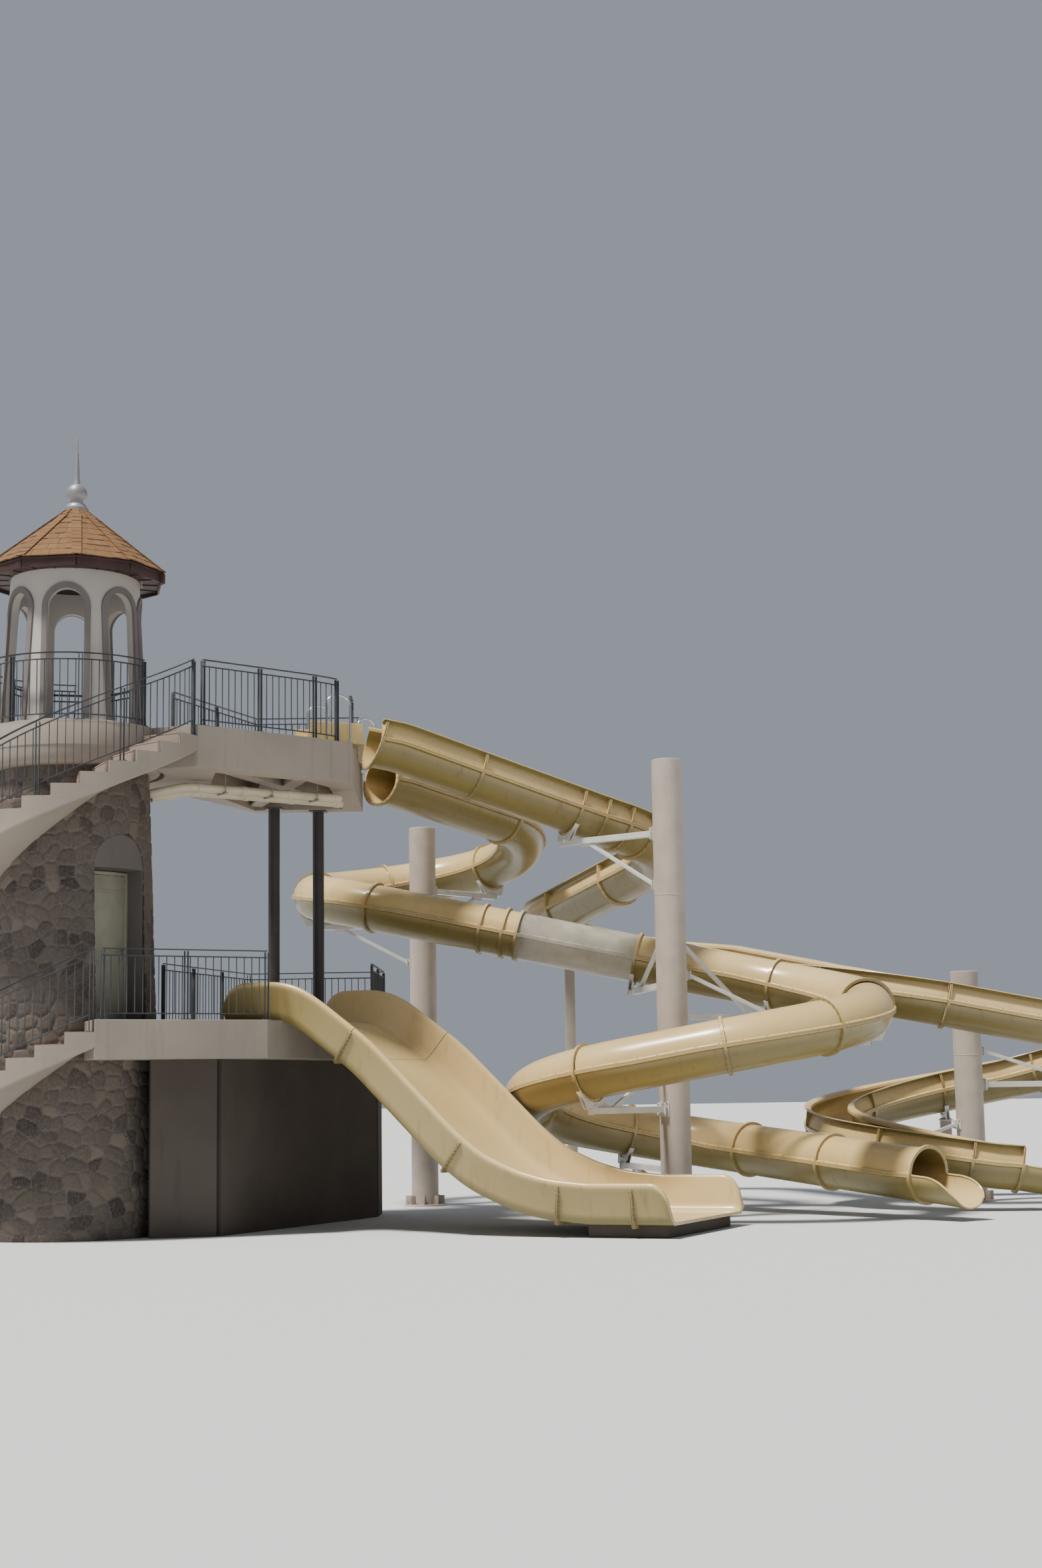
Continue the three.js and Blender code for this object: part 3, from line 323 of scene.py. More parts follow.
def around(bearing, radius):  # bearing 0 faces the pool and grows to the right
    turn = math.radians(bearing)
    return radius * math.sin(turn), -radius * math.cos(turn)


def polar(bearing, radius, z):
    return towerAxis + Vector((*around(bearing, radius), z))


def spread(start, end, count):
    return [start + (end - start) * i / count for i in range(count + 1)]


def arc(radius, start, end, count, centre=(0, 0)):
    turns = [math.radians(angle) for angle in spread(start, end, count)]
    return [(centre[0] + radius * math.cos(a), centre[1] + radius * math.sin(a)) for a in turns]


def mirrored(points):
    return [(-x, y) for x, y in reversed(points)]


def levelAt(stops, station):
    i = 1
    while i < len(stops) - 1 and station > stops[i][0]:
        i += 1
    (s0, z0), (s1, z1) = stops[i - 1], stops[i]
    return z0 + (z1 - z0) * (station - s0) / (s1 - s0)


def levelled(heading):  # a level direction
    return Vector((math.cos(heading), math.sin(heading), 0))


def framed(spot, right, up):  # x runs to the right, y up
    base = Matrix((right, up, right.cross(up))).transposed()
    return Matrix.Translation(spot) @ base.to_4x4()


def turnedAt(spot, heading):
    return Matrix.Translation(spot) @ Matrix.Rotation(heading, 4, "Z")


# Modelling helpers
def applyPlace(piece):
    selectOnly(piece)
    bpy.ops.object.transform_apply(location=True, rotation=True, scale=True)


def placed(piece, place):
    piece.data.transform(place)
    return piece


def modify(piece, kind, **settings):
    modifier = piece.modifiers.new(kind.lower(), kind)
    for key, value in settings.items():
        setattr(modifier, key, value)
    selectOnly(piece)
    bpy.ops.object.modifier_apply(modifier=modifier.name)
    return piece


def cutAway(piece, cutter, operation="DIFFERENCE"):
    modify(piece, "BOOLEAN", object=cutter, operation=operation, solver="EXACT")
    bpy.data.objects.remove(cutter)
    return piece


def join(pieces):
    selectOnly(*pieces)
    if len(pieces) > 1:
        bpy.ops.object.join()
    return bpy.context.view_layer.objects.active


def paint(piece, material):
    piece.data.materials.clear()
    piece.data.materials.append(material)
    return piece


def edit(piece, *steps):
    selectOnly(piece)
    bpy.ops.object.mode_set(mode="EDIT")
    bpy.ops.mesh.select_all(action="SELECT")
    for step, settings in steps:
        step(**settings)
    bpy.ops.object.mode_set(mode="OBJECT")
    return piece


def merged(distance):
    return bpy.ops.mesh.remove_doubles, {"threshold": distance}


facesOut = (bpy.ops.mesh.normals_make_consistent, {"inside": False})


def closed(piece):
    return edit(piece, merged(0.0004), facesOut)


def finishPiece(parts, name, replaced, angle=32):
    piece = join(parts)
    piece.name = name
    piece.data.name = name
    applyPlace(piece)
    bpy.ops.object.shade_smooth_by_angle(angle=math.radians(angle))
    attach(piece, "root")
    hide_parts(*replaced)
    return piece


def addBox(material, size, centre, bevel=0.003, turn=0.0):
    bpy.ops.mesh.primitive_cube_add(size=1, location=centre, rotation=(0, 0, turn))
    piece = bpy.context.object
    piece.scale = size
    applyPlace(piece)
    modify(piece, "BEVEL", width=bevel, segments=2, limit_method="ANGLE")
    return paint(piece, material)


def laid(piece, start, end, upright="Y"):  # turns an upright piece to run from start to end
    turn = (end - start).to_track_quat("Z", upright)
    return placed(piece, Matrix.Translation((start + end) / 2) @ turn.to_matrix().to_4x4())


def addBeam(material, width, height, start, end, bevel=0.004):
    start, end = Vector(start), Vector(end)
    along = end - start
    bpy.ops.mesh.primitive_cube_add(size=1, location=(0, 0, 0))
    piece = bpy.context.object
    piece.scale = (width, height, along.length)
    applyPlace(piece)
    modify(piece, "BEVEL", width=bevel, segments=1, limit_method="ANGLE")
    return laid(paint(piece, material), start, end, "Y" if abs(along.normalized().z) < 0.95 else "X")


def addRod(material, radius, start, end, sides=12, bevel=0.0):
    start, end = Vector(start), Vector(end)
    length = (end - start).length
    bpy.ops.mesh.primitive_cylinder_add(vertices=sides, radius=radius, depth=length)
    piece = bpy.context.object
    if bevel:
        modify(piece, "BEVEL", width=bevel, segments=2, limit_method="ANGLE", angle_limit=1.0)
    return laid(paint(piece, material), start, end)


def makeCurve(lines, cyclic, dimensions="3D"):
    bpy.ops.curve.primitive_bezier_curve_add()
    piece = bpy.context.object
    piece.data.splines.clear()
    piece.data.dimensions = dimensions
    for line in lines:
        spline = piece.data.splines.new("POLY")
        spline.points.add(len(line) - 1)
        for point, place in zip(spline.points, line):
            point.co = (*place, 1) if len(place) == 3 else (*place, 0, 1)
        spline.use_cyclic_u = cyclic
    return piece


def toMesh(curve):
    selectOnly(curve)
    bpy.ops.object.convert(target="MESH")
    return bpy.context.object


def sweep(points, profile, material):
    path = makeCurve([points], False)
    path.data.twist_mode = "Z_UP"
    shape = makeCurve([profile], True, "2D")
    path.data.bevel_mode = "OBJECT"
    path.data.bevel_object = shape
    path.data.use_fill_caps = True
    piece = toMesh(path)
    bpy.data.objects.remove(shape)
    return paint(piece, material)


def addPipe(points, radius, material, sides=10):
    return sweep(points, arc(radius, 0, 360, sides)[:-1], material)


def prism(outlines, depth, material, level=0.0):
    flat = makeCurve(outlines, True, "2D")
    flat.data.fill_mode = "BOTH"
    flat.data.extrude = depth / 2
    piece = closed(toMesh(flat))
    return placed(paint(piece, material), Matrix.Translation((0, 0, level)))


def lathe(profile, material, sides=96, ringed=False, centre=towerAxis):
    piece = toMesh(makeCurve([[(radius, 0, height) for radius, height in profile]], ringed))
    turning = {"axis": "Z", "angle": math.tau, "steps": sides, "render_steps": sides}
    modify(piece, "SCREW", use_merge_vertices=True, merge_threshold=0.0001, **turning)
    return paint(closed(placed(piece, Matrix.Translation(centre))), material)


def scatter(master, places, attribute=None, values=()):
    copies = []
    for i, place in enumerate(places):
        copy = master.copy()
        copy.data = master.data.copy()
        copy.data.transform(place)
        if attribute:
            marks = copy.data.attributes.new(attribute, "FLOAT", "POINT")
            marks.data.foreach_set("value", [values[i]] * len(copy.data.vertices))
        bpy.context.scene.collection.objects.link(copy)
        copies.append(copy)
    bpy.data.objects.remove(master)
    return join(copies)


def aroundTower(master, bearings):
    back = Matrix.Translation(-towerAxis)
    return scatter(master, [turnedAt(towerAxis, math.radians(bearing)) @ back for bearing in bearings])


def squareBolts(foot, reach, radius, tall):
    spots = [foot + Vector((x, y, 0)) for x in (-reach, reach) for y in (-reach, reach)]
    return [addRod(galvanised, radius, spot, spot + lift(tall), 6) for spot in spots]


# Slide routes: corners (x, y, bend radius, height of the side seam)
upperCorners = [
    (-2.43, -0.462, 0, 7.88),
    (3.0, 1.8, 1.6, 6.25),
    (-0.6, 8.89, 1.8, 5.2),
    (3.5, 9.24, 1.8, 4.76),
    (5.6, 2.0, 2.2, 3.78),
    (10.6, 2.0, 1.75, 2.9),
    (10.6, 5.5, 1.75, 2.42),
    (5.4, 5.5, 2.45, 1.64),
    (5.4, 0.6, 2.45, 1.08),
    (8.15, 0.6, 0, 0.7),
]
lowerCorners = [
    (-2.4715, 1.9285, 0, 7.56),
    (0.0, 4.4, 1.95, 6.98),
    (0.0, 7.3, 1.95, 6.48),
    (-3.9, 7.3, 1.95, 6.01),
    (-3.9, 3.38, 1.95, 5.6),
    (3.2, 2.2, 2.4, 4.08),
    (5.6, 1.75, 2.4, 3.64),
    (5.6, -3.05, 2.25, 3.0),
    (0.05, -1.55, 2.25, 2.22),
    (0.05, 2.4, 2.25, 1.58),
    (3.01, 2.4, 1.45, 1.15),
    (6.25, -1.6, 0, 0.66),
]


class Route:
    def __init__(self, corners):
        self.runs = []
        self.stops = [(0.0, corners[0][3])]
        at = Vector(corners[0][:2])
        station = 0.0
        for i in range(1, len(corners)):
            here = Vector(corners[i][:2])
            ahead = (here - Vector(corners[i - 1][:2])).normalized()
            radius = corners[i][2]
            heading = math.atan2(ahead.y, ahead.x)
            begin = here
            if radius:
                onward = (Vector(corners[i + 1][:2]) - here).normalized()
                turn = math.atan2(ahead.cross(onward), ahead.dot(onward))
                begin = here - ahead * radius * math.tan(abs(turn) / 2)
            length = max(0.0, (begin - at).dot(ahead))
            self.runs.append((station, length, at, heading, 0.0))
            station += length
            curved = abs(turn) * radius if radius else 0.0
            self.stops.append((station + curved / 2, corners[i][3]))
            if radius:
                self.runs.append((station, curved, begin, heading, math.copysign(1 / radius, turn)))
                at = self.plan(self.runs[-1], curved)
            station += curved
        self.length = station

    def plan(self, run, along):
        _, _, begin, heading, bend = run
        if not bend:
            return begin + Vector((math.cos(heading), math.sin(heading))) * along
        end = heading + along * bend
        across, ahead = math.sin(end) - math.sin(heading), math.cos(heading) - math.cos(end)
        return begin + Vector((across / bend, ahead / bend))

    def frameAt(self, station, reach=0.4):
        run = [r for r in self.runs if r[1] > 0 and station >= r[0] - 1e-9][-1]
        spot = self.plan(run, station - run[0])
        heading = run[3] + (station - run[0]) * run[4]
        before, after = max(0.0, station - reach), min(self.length, station + reach)
        low, high = levelAt(self.stops, before), levelAt(self.stops, after)
        slope = math.atan2(high - low, after - before)
        flat = levelled(heading)
        forward = flat * math.cos(slope) + lift(math.sin(slope))
        left = Vector((-flat.y, flat.x, 0))
        return onSite(spot.x, spot.y, (low + high) / 2), forward, left, forward.cross(left)

    def matrix(self, station, side=0.0, rise=0.0):
        centre, _, left, up = self.frameAt(station)
        return framed(centre + left * side + up * rise, left, up)

    def line(self, start, end, pitch=0.12):
        stations = spread(start, end, max(2, math.ceil((end - start) / pitch)))
        return [self.frameAt(station)[0] for station in stations]


upperRoute = Route(upperCorners)
lowerRoute = Route(lowerCorners)
print("routes", round(upperRoute.length, 3), round(lowerRoute.length, 3))

flume = {"radius": 0.42, "wall": 0.016, "seamReach": 0.04, "seamHeight": 0.07, "boltPitch": 0.3}
flume.update(ringReach=0.045, ringWidth=0.0225, ringDepths=(0.013, 0.037), gap=0.001)
inner, outer = flume["radius"] - flume["wall"], flume["radius"] + flume["seamReach"]
upperBreaks = [0, 3.56, 9.81, 14.5, 19.5, 23.6, 27.95, 31.7, 35.55, upperRoute.length]
lowerBreaks = [0, 6.0, 10.5, 15.75, 17.85, 22.8, 28.865, 34.0, lowerRoute.length]
upperRings = [1.76, 4.01, 4.41, 4.81, 7.71, 12.2, 16.9, 21.6, 25.8, 29.8, 33.6, 37.5, 38.9]
lowerRings = [3.0, 8.2, 13.1, 15.1, 15.5, 20.3, 25.0, 26.65, 31.4, 36.4, 38.3]
clearSection = 4

# Profiles across a flume: a flange with its lip, the rolled rim of an open side and its fin
lip = flume["seamHeight"] / 2
flange = [(inner, 0.0006), (outer - 0.003, 0.0006), (outer, 0.0035), (outer, lip - 0.006)]
flange += [(outer - 0.008, lip), (flume["radius"] + 0.014, lip + 0.003)]
lowFlange = [(x, -y) for x, y in flange]
rim = [(0.338, 0.275), (0.353, 0.290), (0.385, 0.303), (0.418, 0.308), (0.437, 0.311), (0.443, 0.320)]
rim += [(0.437, 0.330), (0.418, 0.332), (0.382, 0.324), (0.345, 0.309), (0.326, 0.290)]
halfShell = lowFlange + arc(flume["radius"], -6.5, -173.5, 26)
halfShell += mirrored(lowFlange) + arc(inner, -178.5, -1.5, 26)
upperShell = [(x, -y) for x, y in halfShell]
openSide = flange + arc(flume["radius"], 6.5, 38, 7) + rim + arc(inner, 38, 1.5, 7)
fin = [(0.456, lip), (0.460, lip + 0.03), (0.436, 0.300), (0.385, 0.303), (0.345, 0.284)]
fin += arc(flume["radius"] - 0.004, 38, 6.5, 7)


def jointRing(isOpen):
    reach, bore = flume["radius"] + flume["ringReach"], flume["radius"] - 0.006
    if isOpen:
        outlines = [arc(reach, 0, -180, 28) + arc(bore, -180, 0, 28)]
    else:
        outlines = [arc(reach, 0, 360, 48)[:-1], arc(bore, 0, 360, 48)[:-1]]
    plates = []
    for depth in flume["ringDepths"]:
        plates.append(prism(outlines, flume["ringWidth"], cream, depth))
        if isOpen:
            plates += [prism([side], 0.014, cream, depth) for side in (fin, mirrored(fin))]
    return join(plates)


def boltHead(length=0.009, radius=0.0115):
    return addRod(galvanised, radius, (0, 0, 0), (0, 0, length), 6)


def tipped(angle):  # about the line across a flume
    return Matrix.Rotation(math.radians(angle), 4, "X")


def boltPlaces(route, start, end, rings, isOpen):
    places = []
    reach = flume["radius"] + 0.028
    for station in rings:
        for angle in range(-7, -180, -15) if isOpen else range(0, 360, 15):
            turn = math.radians(angle)
            side, rise = reach * math.cos(turn), reach * math.sin(turn)
            places.append(route.matrix(station + 0.045, side, rise))
            places.append(route.matrix(station + 0.005, side, rise) @ tipped(180))
    reach, rise = flume["radius"] + 0.026, lip - 0.001
    for station in spread(start, end, int((end - start) / flume["boltPitch"]))[1:-1]:
        for side in (-reach, reach):
            places.append(route.matrix(station, side, rise) @ tipped(-90))
            places.append(route.matrix(station, side, -rise) @ tipped(90))
    return places


trough = {"length": 0.83, "flare": 0.11, "fallFrom": 0.28, "fall": 60, "skin": 0.02, "bead": 0.019}
trough.update(drop=0.9, inset=0.012)


def troughPoint(route, t, share, inset=0.002):
    centre, forward, left, up = route.frameAt(route.length)
    fall = max(0.0, (t - trough["fallFrom"]) / (1 - trough["fallFrom"]))
    half = 90 - trough["fall"] * (1 - math.sqrt(1 - fall * fall))
    radius = (flume["radius"] - inset) * (1 + trough["flare"] * t * t)
    turn = math.radians(-90 + half * share)
    rise = radius * math.sin(turn) + (radius - flume["radius"] + inset) * trough["drop"]
    along = centre + forward * (trough["length"] * t + 0.004)
    return along + left * radius * math.cos(turn) + up * rise


# The half pipe beyond the mouth: its sides sweep down to a lip over the pool.
def exitTrough(route):
    bpy.ops.mesh.primitive_grid_add(x_subdivisions=40, y_subdivisions=28, size=1)
    piece = bpy.context.object
    for vertex in piece.data.vertices:
        vertex.co = troughPoint(route, vertex.co.y + 0.5, vertex.co.x * 2)
    closed(piece)
    if piece.data.polygons[0].normal.dot(route.frameAt(route.length)[2]) > 0:
        edit(piece, (bpy.ops.mesh.flip_normals, {}))
    modify(piece, "SOLIDIFY", thickness=trough["skin"], offset=-1)
    edge = [(t, -1) for t in spread(0, 1, 24)[:-1]] + [(1, share) for share in spread(-1, 1, 24)]
    edge += [(t, 1) for t in spread(1, 0, 24)[1:]]
    bead = [troughPoint(route, t, share, trough["inset"]) for t, share in edge]
    return join([paint(piece, cream), addPipe(bead, trough["bead"], cream)])


def flumePieces(route, breaks, rings, prefix, isOpen, clearIndex=None):
    for i, (start, end) in enumerate(zip(breaks, breaks[1:]), 1):
        body = clear if i == clearIndex else cream
        path = route.line(start + flume["gap"], end - flume["gap"])
        profiles = [halfShell, openSide, mirrored(openSide)] if isOpen else [halfShell, upperShell]
        parts = [closed(sweep(path, profile, body)) for profile in profiles]
        joints = [start + flume["gap"]] + [s for s in rings if start + 0.2 < s < end - 0.2]
        if end == route.length:
            joints.append(end - 0.052)
            parts.append(exitTrough(route))
        parts.append(scatter(jointRing(isOpen), [route.matrix(s) for s in joints]))
        parts.append(scatter(boltHead(), boltPlaces(route, start, end, joints, isOpen)))
        label = "clear" if i == clearIndex else str(i)
        finishPiece(parts, f"{prefix}.shell.{label}", (f"{prefix}_{label}",))
    print(prefix, "built")


flumePieces(upperRoute, upperBreaks, upperRings, "open_slide", True)
flumePieces(lowerRoute, lowerBreaks, lowerRings, "tube_slide", False, clearSection)


# Tower drum: rubble stones from seeded cells, laid over a tapering wall
drum = {"foot": 1.42, "head": 1.17, "top": 7.04, "across": 320, "up": 280, "out": 0.012, "in": 0.014}
drum.update(stoneWidth=0.26, stoneHeight=0.21, flatness=1.15, joint=0.012, jointEdge=0.014, round=0.06)
door = {"bearing": 50, "width": 0.95, "floor": 3.18, "spring": 2.35, "leaf": 2.3, "setBack": 0.46}
door.update(pocket=0.54, frame=0.06, reveal=0.36)


def drumRadius(z):
    return drum["foot"] + (drum["head"] - drum["foot"]) * z / drum["top"]


def clamped(value):
    return min(1.0, max(0.0, value))


def stoneCells(girth):
    columns = round(girth / drum["stoneWidth"])
    cells = []
    for row in range(-1, round(drum["top"] / drum["stoneHeight"]) + 2):
        shift = random.random()
        for column in range(columns):
            x = (column + shift + random.uniform(-0.34, 0.34)) * girth / columns
            z = (row + random.uniform(-0.36, 0.36)) * drum["stoneHeight"]
            cells.append((x % girth, z, random.random(), random.uniform(0.3, 1.0)))
    return cells


def dressStone(mesh):
    girth = 2 * math.pi * drum["foot"]
    cells = stoneCells(girth)
    tree = KDTree(3 * len(cells))
    for i, (x, z, _, _) in enumerate(cells):
        for k, wrap in enumerate((-girth, 0, girth)):
            tree.insert((x + wrap, z * drum["flatness"], 0), 3 * i + k)
    tree.balance()
    tone = mesh.attributes.new("stoneTone", "FLOAT", "POINT")
    joint = mesh.attributes.new("stoneJoint", "FLOAT", "POINT")
    for vertex in mesh.vertices:
        bearing, z = 360 * (vertex.co.x + 0.5), drum["top"] * (vertex.co.y + 0.5)
        turn = math.radians(bearing)
        warp = 0.03 * math.sin(7 * z + 3 * turn) + 0.02 * math.sin(13 * turn)
        here = (turn / math.tau * girth + warp, z * drum["flatness"], 0)
        (_, near, first), (_, _, second) = tree.find_n(here, 2)
        _, _, shade, relief = cells[near // 3]
        dome = clamped((second - first - drum["joint"]) / drum["round"])
        tone.data[vertex.index].value = shade
        edge = clamped((second - first - drum["joint"] * 0.6) / drum["jointEdge"])
        joint.data[vertex.index].value = 1 - edge
        out = -drum["in"] + (drum["in"] + drum["out"] * relief) * dome * (2 - dome)
        out *= min(1.0, z / 0.05, (drum["top"] - z) / 0.05 + 0.2)
        vertex.co = polar(bearing, drumRadius(z) + out, z)


def standing(bearing, radius, z):  # x runs along the wall, y up, z outwards
    return framed(polar(bearing, radius, z), levelled(math.radians(bearing)), lift(1))


def archOutline(width, spring, foot=0.0):
    return [(-width / 2, foot), (width / 2, foot)] + arc(width / 2, 0, 180, 24, (0, spring))


bpy.ops.mesh.primitive_grid_add(x_subdivisions=drum["across"], y_subdivisions=drum["up"], size=1)
stoneDrum = bpy.context.object
dressStone(stoneDrum.data)
edit(
    stoneDrum,
    merged(0.0005),
    (bpy.ops.mesh.select_all, {"action": "DESELECT"}),
    (bpy.ops.mesh.select_non_manifold, {}),
    (bpy.ops.mesh.edge_face_add, {}),
    (bpy.ops.mesh.select_all, {"action": "SELECT"}),
    facesOut,
)
pocket = prism([archOutline(door["width"], door["spring"])], 0.9, stone)
placed(pocket, standing(door["bearing"], 0.45 + drumRadius(4.4) - door["pocket"], door["floor"]))
paint(cutAway(stoneDrum, pocket), stone)
drumNodes = ("drum_wall_door_side", "drum_wall_far_side")
finishPiece([stoneDrum], "tower.drum.stone", drumNodes, 40)
print("drum", len(stoneDrum.data.polygons))


# Door: a panelled leaf deep in its reveal, with a plain rendered head over it
def onDoor(piece, depth=0.0):
    place = standing(door["bearing"], drumRadius(5.53) - door["setBack"] + depth, door["floor"])
    return placed(piece, place)


opening, stile, tall = door["width"] - 0.002, door["frame"], door["leaf"]
# The reveal lining and the head over the leaf are dark grey as painted shade.
liningArches = [archOutline(opening, door["spring"]), archOutline(opening - 0.03, door["spring"], 0.012)]
frameParts = [onDoor(prism(liningArches, door["reveal"], doorShadePlaster), door["reveal"] / 2)]
springing = door["floor"] + tall - 0.05
crown = door["floor"] + door["spring"] + door["width"] / 2 + 0.05
curve = [(drumRadius(z) - 0.006, z) for z in (springing, crown)]
tympanum = lathe([(0, springing), *curve, (0, crown)], doorShadePlaster, 120)
head = prism([archOutline(opening, door["spring"], tall + 0.012)], 1.2, doorShadePlaster)
frameParts.append(paint(cutAway(tympanum, onDoor(head, 0.57), "INTERSECT"), doorShadePlaster))
wide = opening - 0.034
for side in (-1, 1):
    centre = (side * (wide - stile) / 2, tall / 2, 0)
    frameParts.append(onDoor(addBox(doorPaint, (stile, tall, 0.07), centre, 0.005)))
frameParts.append(onDoor(addBox(doorPaint, (wide - 2 * stile, 0.05, 0.07), (0, tall - 0.025, 0), 0.005)))
finishPiece(frameParts, "tower.door.surround", ("door_tympanum",))

leafWide, leafTall = wide - 2 * stile - 0.006, tall - 0.056
leafBoxes = [
    (doorPaint, (leafWide, leafTall, 0.045), (0, leafTall / 2, 0), 0.005),
    (galvanised, (0.74, 0.16, 0.004), (0, 0.1, 0.024), 0.001),
    (galvanised, (0.05, 0.2, 0.008), (0.35, 1.05, 0.026)),
]
for row, height in ((0.55, 0.75), (1.55, 0.95)):
    leafBoxes.append((doorPaint, (0.58, height, 0.012), (0, row, 0.026), 0.005))
    leafBoxes.append((doorPaint, (0.50, height - 0.08, 0.012), (0, row, 0.032), 0.004))
leafParts = [addBox(*box) for box in leafBoxes]
hinge = 0.01 - leafWide / 2
leafParts += [addRod(darkSteel, 0.011, (hinge, z, 0.028), (hinge, z + 0.1, 0.028)) for z in (0.3, 1.15, 2.0)]
leafParts.append(addRod(galvanised, 0.011, (0.35, 1.08, 0.02), (0.35, 1.08, 0.075)))
leafParts.append(addRod(galvanised, 0.010, (0.355, 1.08, 0.07), (0.24, 1.08, 0.07), bevel=0.003))
finishPiece([onDoor(join(leafParts))], "tower.door.leaf", ("door_leaf",))


# Gallery band and lantern
upperFloor = 7.69
galleryProfile = [
    (0, 7.29), (0.85, 7.29), (0.86, 7.05), (0.88, 7.04), (1.295, 7.04), (1.32, 7.047),
    (1.345, 7.075), (1.368, 7.12), (1.386, 7.2), (1.396, 7.29), (1.398, 7.31), (1.408, 7.318),
    (1.409, 7.62), (1.404, 7.632), (1.404, 7.682), (1.398, upperFloor), (0, upperFloor),
]
finishPiece([lathe(galleryProfile, plaster)], "tower.gallery.band", ("gallery_slab",), 25)

lantern = {"foot": 1.13, "head": 1.0, "wall": 0.14, "top": 10.06, "width": 0.57, "crown": 9.8}
lantern.update(arches=(-46, 4, 55, 98, 142, 194, 252), guarded=(142, 194, 252), band=0.085, proud=0.028)
archSpring = lantern["crown"] - lantern["width"] / 2 - upperFloor


def lanternRadius(z):
    share = (z - upperFloor) / (lantern["top"] - upperFloor)
    return lantern["foot"] + (lantern["head"] - lantern["foot"]) * share


def lanternShell(proud, thickness):
    low, high = upperFloor + 0.001, lantern["top"] + 0.051
    foot, head = lanternRadius(low) + proud, lanternRadius(high) + proud
    profile = [(foot, low), (head, high), (head - thickness, high), (foot - thickness, low)]
    return lathe(profile, lanternPaint, 128, True)


def archBlock(width, foot, material):
    block = prism([archOutline(width, archSpring, foot)], 0.8, material)
    return placed(block, standing(0, 1.05, upperFloor))


walls = lanternShell(0, lantern["wall"])
cutAway(walls, aroundTower(archBlock(lantern["width"], 0.06, lanternPaint), lantern["arches"]))
wallParts = [edit(walls, merged(0.0002))]
surround = lanternShell(lantern["proud"], 0.05)
cutAway(surround, archBlock(lantern["width"] + 2 * lantern["band"], 0.002, band), "INTERSECT")
cutAway(surround, archBlock(lantern["width"] - 0.004, -0.2, band))
wallParts.append(aroundTower(paint(surround, band), lantern["arches"]))
plinth = [(1.12, 7.692), (1.165, 7.692), (1.165, 7.74), (1.155, 7.75), (1.125, 7.75)]
wallParts.append(lathe(plinth, plaster, 128, True))
half = lantern["width"] / 2
guards = []
for height, thick in ((0.1, 0.012), (0.7, 0.012), (0.8, 0.018)):
    guards.append(addRod(railPaint, thick, (-half, height, 0), (half, height, 0), 10))
guards += [addRod(railPaint, 0.008, (x, 0.1, 0), (x, 0.7, 0), 8) for x in (-0.18, -0.06, 0.06, 0.18)]
wallParts.append(aroundTower(placed(join(guards), standing(0, 1.03, upperFloor)), lantern["guarded"]))
lanternNodes = ("lantern_wall_left", "lantern_wall_right")
finishPiece(wallParts, "tower.lantern.walls", lanternNodes, 30)
print("lantern built")


# Roof: eave boards on a ten-sided plan, courses of shingles and a finial
eave = {"radius": 1.395, "sides": 10, "turn": -6, "foot": 10.062, "height": 0.163, "skirt": 0.012}
eave.update(board=0.03, cap=0.035, beam=(0.035, 0.014), beamFrom=1.03)
roof = {"foot": 10.226, "top": 11.3, "radius": 1.415, "headRadius": 0.11, "courses": 9, "tab": 0.145}
roof.update(tilt=1.5, capSteps=13, laminated=0.34, deckFoot=10.23, deckRise=1.06, deckHead=0.09)
roof.update(overlap=1.15, gap=0.003, thick=0.016, jitter=0.004, ragged=0.012)
corner = 360 / eave["sides"]


# The decagon's corners, counted round from the pool side to the right.
def eavePoint(index, radius, z):
    return polar(eave["turn"] + corner * (index + 0.5), radius, z)


# One side of the eave: the board, its capping strip and two soffit beams
foot, head = eave["foot"], eave["foot"] + eave["height"]
a, b = eavePoint(0, eave["radius"] - 0.02, 0), eavePoint(1, eave["radius"] - 0.02, 0)
heading, long, middle = math.atan2(b.y - a.y, b.x - a.x), (b - a).length, (a + b) / 2
inward = flatDirection(towerAxis - middle)
tall, level, tip = eave["height"] + eave["skirt"] - 0.02, foot + 0.043, eave["radius"] - 0.05
up = lift(level)
board = middle + lift(head - 0.01 - tall / 2)
strip = middle - inward * 0.012 + lift(head - 0.0185)
eaveSide = [
    addBox(fascia, (long - 0.006, eave["board"], tall), board, 0.004, heading),
    addBox(fascia, (long + 0.012, eave["board"], eave["cap"]), strip, 0.004, heading),
    addBeam(fascia, *eave["beam"], eavePoint(0, eave["beamFrom"], level), eavePoint(0, tip, level)),
    addBeam(fascia, *eave["beam"], towerAxis - inward * 1.02 + up, middle + inward * 0.03 + up),
]
boards = [aroundTower(join(eaveSide), [corner * i for i in range(eave["sides"])])]
soffit = [around(eave["turn"] + corner * (i + 0.5), eave["radius"] - 0.035) for i in range(eave["sides"])]
boards.append(placed(prism([soffit], 0.05, fascia, foot + 0.075), Matrix.Translation(towerAxis)))
lampCorner = eavePoint(2, eave["radius"] + 0.01, foot + 0.06)
lampTurn = math.atan2(lampCorner.y - towerAxis.y, lampCorner.x - towerAxis.x)
boards.append(addBox(fascia, (0.07, 0.08, 0.165), lampCorner, 0.006, lampTurn))
underLamp = eavePoint(2, eave["radius"] - 0.33, foot - 0.03)
boards.append(addRod(plaster, 0.012, underLamp, underLamp + lift(0.1), 16))
boards.append(addRod(plaster, 0.022, underLamp - lift(0.05), underLamp, 20, 0.006))
finishPiece(boards, "tower.roof.eave", ("roof_fascia",))

roofRise = roof["top"] - roof["foot"]
slope = math.atan2(roofRise, (roof["radius"] - roof["headRadius"]) * math.cos(math.radians(corner / 2)))
coursePitch = roofRise / roof["courses"]


